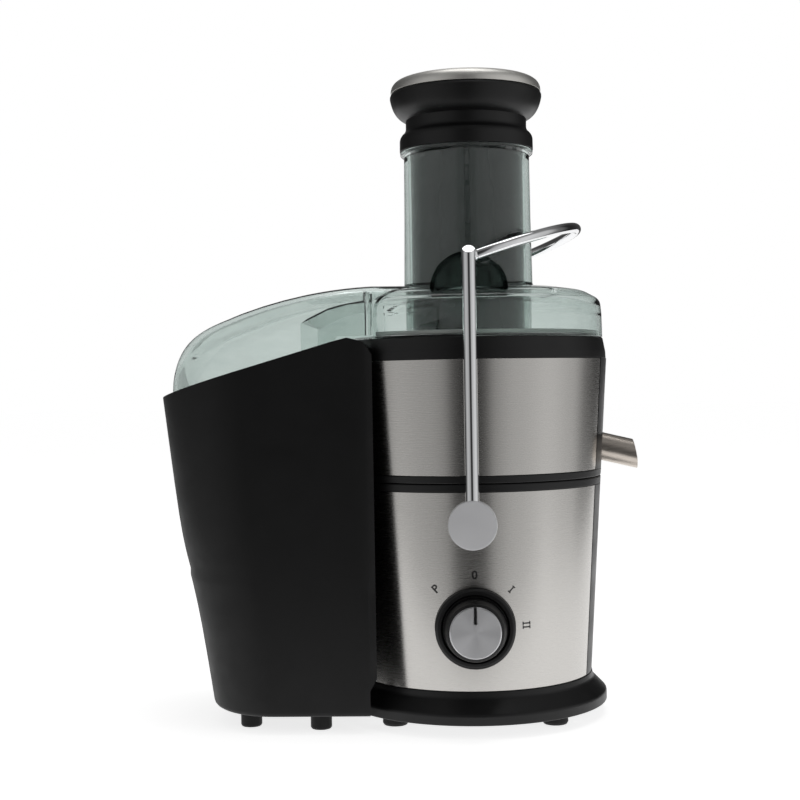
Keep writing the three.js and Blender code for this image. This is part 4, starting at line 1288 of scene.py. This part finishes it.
# ---------------------------------------------------------------- pusher
def pusher():
    """A hollow barrel with a groove down its front, a waisted grip and a polished plate."""
    radius = 35.7
    groove = math.degrees(math.asin(1.7 / radius))
    outline = arc((0, 0), radius, -90 + groove, 270 - groove, 2 * MEDIUM_ROUND)
    outline += [(-1.5, -34.3), (-1.2, -34.1), (1.2, -34.1), (1.5, -34.3)]
    made = plain_object("pusher_barrel", prism(outline, 198, 357))
    bore = turned([(0, 202.2), (33.5, 202.2), (33.5, 360), (0, 360)])
    cut(made, bore)
    settle(made, ["pusher_body"], "pusher", "pusher_grey")

    head = rounded([
        (0, 350),
        (33.2, 350),
        (33.2, 357.3),
        (42.6, 357.3, 0.5),
        (42.5, 364.2),
        *bezier([(42.5, 364.2), (42.3, 366.8), (40.4, 368.4)], 8),
        *bezier([(40.4, 368.4), (38.7, 369.8), (38.5, 372.2)], 8),
        (38.5, 377.2),
        *bezier([(38.5, 377.2), (46.4, 379.8), (48.4, 391.2)], 20),
        (48.4, 392.4, 0.8),
        (47.6, 394, 0.5),
        (0, 394),
    ])
    made = plain_object("pusher_grip", turned(head))
    settle(made, ["pusher_head"], "pusher", "housing_black")

    cap = rounded([
        (0, 394.3),
        (47.9, 394.3, 0.3),
        *bezier([(47.9, 394.9), (47.9, 400.8), (42, 402.4)], 14),
        *bezier([(42, 402.4), (28, 404), (0, 404)], 14),
    ])
    made = plain_object("pusher_lid", turned(cap))
    settle(made, ["pusher_cap"], "pusher", "cap_metal")


pusher()


# ---------------------------------------------------------------- pulp container
def container_reach(z):
    """Distance of the container's outer end from the axis. A finger step makes the lower part narrower."""
    upper = CONTAINER_REACH - 0.1187 * (203 - z)
    step = 175.4 + 0.321 * (z - 84)
    lower = 175.4 - 0.1505 * (84 - z)
    softness = 2.2
    high = -softness * math.log(math.exp(-upper / softness) + math.exp(-step / softness))
    return softness * math.log(math.exp(high / softness) + math.exp(lower / softness)) if z < 96 else high


def container_ring(z_of, inset):
    """One level of the container's wall: its outline in plan, lifted to the height that z_of gives."""
    hug = CONTAINER_HUG + inset
    arm = CONTAINER_ARM + inset
    side = CONTAINER_HALF_WIDTH - inset
    corner = CONTAINER_CORNER - inset
    small = max(5 - inset, 2)
    full = CONTAINER_REACH - inset
    near = [(-arm - small, -side)]
    for k in range(1, 8):
        near.append((-arm - small + (-full + corner + arm + small) * k / 8, -side))
    near += arc((-full + corner, -side + corner), corner, -90, -180, 30)
    near += [(-full, (-side + corner) * (1 - k / 4)) for k in range(1, 4)]
    outer = near + [(x, -y) for x, y in reversed(near)]

    def lift(x, y):
        z = z_of(x)
        for _ in range(4):
            shrink = (container_reach(min(z, 250)) - inset - arm) / (full - arm)
            draft = 1 - 0.04 * (1 - min(z, 230) / 230)
            px = -arm + (x + arm) * shrink
            z = z_of(px)
        return Vector((px, y * draft, z))

    ring = [lift(x, y) for x, y in outer]
    # the hollow widens towards the ground, to clear the drum's flange
    flare = hug + min(max(13 * (33 - ring[0].z) / 23, 0), 13)
    y_end = abs(ring[0].y) - small * 0.55
    x_end = min(-math.sqrt(max(flare ** 2 - y_end ** 2, 1)), -arm)
    # from the far arm's end round the hollow to the near arm's end
    start_angle = math.degrees(math.atan2(y_end, x_end))
    hollow = arc((0, 0), math.hypot(x_end, y_end), start_angle, 360 - start_angle, 40)
    for x, y in hollow:
        ring.append(Vector((x, y, z_of(x))))
    return ring


FLAT_LEVELS = 175                   # the wall's levels are flat up to here
LEANS = 6                           # and lean step by step towards the rim above it
FOOT_PLACES = ((-138, 43.5), (-94, 51.5))


def flat_ring(z, inset):
    return container_ring(lambda x: z, inset)


def leaning_ring(k, inset):
    return container_ring(lambda x: FLAT_LEVELS + (arm_limited(x) - 0.5 - FLAT_LEVELS) * k / LEANS, inset)


def lip_ring(drop, inset):
    return container_ring(lambda x: arm_limited(x) - drop, inset)


def container():
    """A thin-walled bucket with a rounded bottom edge, a rounded lip and four feet."""
    rounding = 3.0
    outer = []
    for k in range(5):
        angle = math.pi / 2 * k / 4
        z = CONTAINER_FLOOR + rounding * (1 - math.cos(angle))
        outer.append(flat_ring(z, rounding * (1 - math.sin(angle))))
    # close together where the finger step bends the wall
    for z in (18, 26, 33, 45, 60, 72, 80, *range(84, 113, 4), 118, 130, 150, FLAT_LEVELS):
        outer.append(flat_ring(z, 0))
    outer += [leaning_ring(k, 0) for k in range(1, LEANS + 1)]
    lip = [
        lip_ring(0.12, 0.15),
        lip_ring(0, 0.6),
        lip_ring(0, CONTAINER_WALL - 0.6),
        lip_ring(0.12, CONTAINER_WALL - 0.15),
    ]
    inner = [leaning_ring(k, CONTAINER_WALL) for k in range(LEANS, 0, -1)]
    for z in (FLAT_LEVELS, 150, 118, 108, 104, 96, 88, 84, 72, 45, 33, 20, CONTAINER_FLOOR + CONTAINER_WALL):
        inner.append(flat_ring(z, CONTAINER_WALL))
    made = plain_object("pulp_bin", lofted(outer + lip + inner))
    top = CONTAINER_FLOOR + 1
    foot = rounded([(0, 0), (5.8, 0, 0.8), (6.5, 1.2, 0.6), (6.5, top), (0, top)], 4)
    for x, y in FOOT_PLACES:
        for side in (-1, 1):
            join(made, turned(foot, SMALL_ROUND, centre=(x, side * y, 0)))
    cut(made, box_mesh((-110, -69.6, 235.2), (-40, 69.6, 270)))
    settle(made, ["pulp_container"], "container", "container_black")


def arm_limited(x):
    """Height of the rim, which rounds down to the arms' ends."""
    bend = -76
    if x < bend:
        return rim_height(x)
    start, control, end = Vector((bend, rim_height(bend))), Vector((-62.5, 240)), Vector((-58, 226))
    low, high = 0.0, 1.0
    for _ in range(24):
        t = (low + high) / 2
        place = start.lerp(control, t).lerp(control.lerp(end, t), t)
        if place.x < x:
            low = t
        else:
            high = t
    return place.y


container()


# ---------------------------------------------------------------- bail
def bail():
    # half an ellipse, tilted up and away from the machine
    tilt = math.radians(LOOP_TILT)
    root_x, root_y, root_z = LOOP_ROOT
    path = []
    steps = 72
    for k in range(steps + 1):
        angle = (k / steps - 0.5) * math.pi
        reach = LOOP_LENGTH * math.cos(angle)
        x, z = root_x + reach * math.cos(tilt), root_z + reach * math.sin(tilt)
        path.append((x, root_y * math.sin(angle), z))
    made = plain_object("bail_handle", swept(path, LOOP_ROD, 32))
    settle(made, ["bail_loop"], "bail", "bright_chrome", 50)

    stub_z = BAIL_TOP - BAIL_ROD
    for end, sy in (("front", -1), ("rear", 1)):
        y = sy * BAIL_Y
        elbow = swept([(0, y, PIVOT_Z + 6), (0, y, stub_z), (0, sy * 62.5, stub_z)], BAIL_ROD, SMALL_ROUND)
        corner = Vector((0, y + sy * 1.9, stub_z + 1.9))
        facet = Vector((0, sy, 1)).normalized()
        bmesh.ops.bisect_plane(
            elbow, geom=elbow.verts[:] + elbow.edges[:] + elbow.faces[:],
            plane_co=corner, plane_no=facet, clear_outer=True)
        open_edges = [e for e in elbow.edges if e.is_boundary]
        bmesh.ops.holes_fill(elbow, edges=open_edges)
        bmesh.ops.recalc_face_normals(elbow, faces=elbow.faces)
        made = plain_object(f"bail_upright_{end}", elbow)
        ball = bmesh.new()
        bmesh.ops.create_uvsphere(ball, u_segments=32, v_segments=20, radius=LOOP_ROD + 0.9)
        ball.transform(Matrix.Translation((2.6, sy * root_y, 283.9)))
        join(made, ball)
        bevelled(made, 0.3, 3, 35)
        settle(made, [f"bail_arm_{end}"], "bail", "bright_chrome", 40)

        disc = rounded([
            (0, sy * 89),
            (DISC_RADIUS, sy * 89, 0.6),
            (DISC_RADIUS, sy * 98, 0.7),
            (0, sy * 98),
        ], 5)
        made = plain_object(f"bail_disc_{end}", turned(disc, MEDIUM_ROUND, axis="Y", centre=(0, 0, PIVOT_Z)))
        cut(made, rod((0, y, PIVOT_Z + 5), (0, y, PIVOT_Z + 30), BAIL_ROD + 0.2))
        settle(made, [f"pivot_disc_{end}"], "bail", "disc_grey")

        pin = rounded([
            (0, sy * 63.4), (4.5, sy * 63.4, 0.6), (4.5, sy * 82.2), (6, sy * 82.2, 0.4),
            (6, sy * 88.7, 0.3), (0, sy * 88.7),
        ], 4)
        made = plain_object(f"bail_pin_{end}", turned(pin, SMALL_ROUND, axis="Y", centre=(0, 0, PIVOT_Z)))
        settle(made, [f"pivot_pin_{end}"], "bail", "bare_steel")


bail()
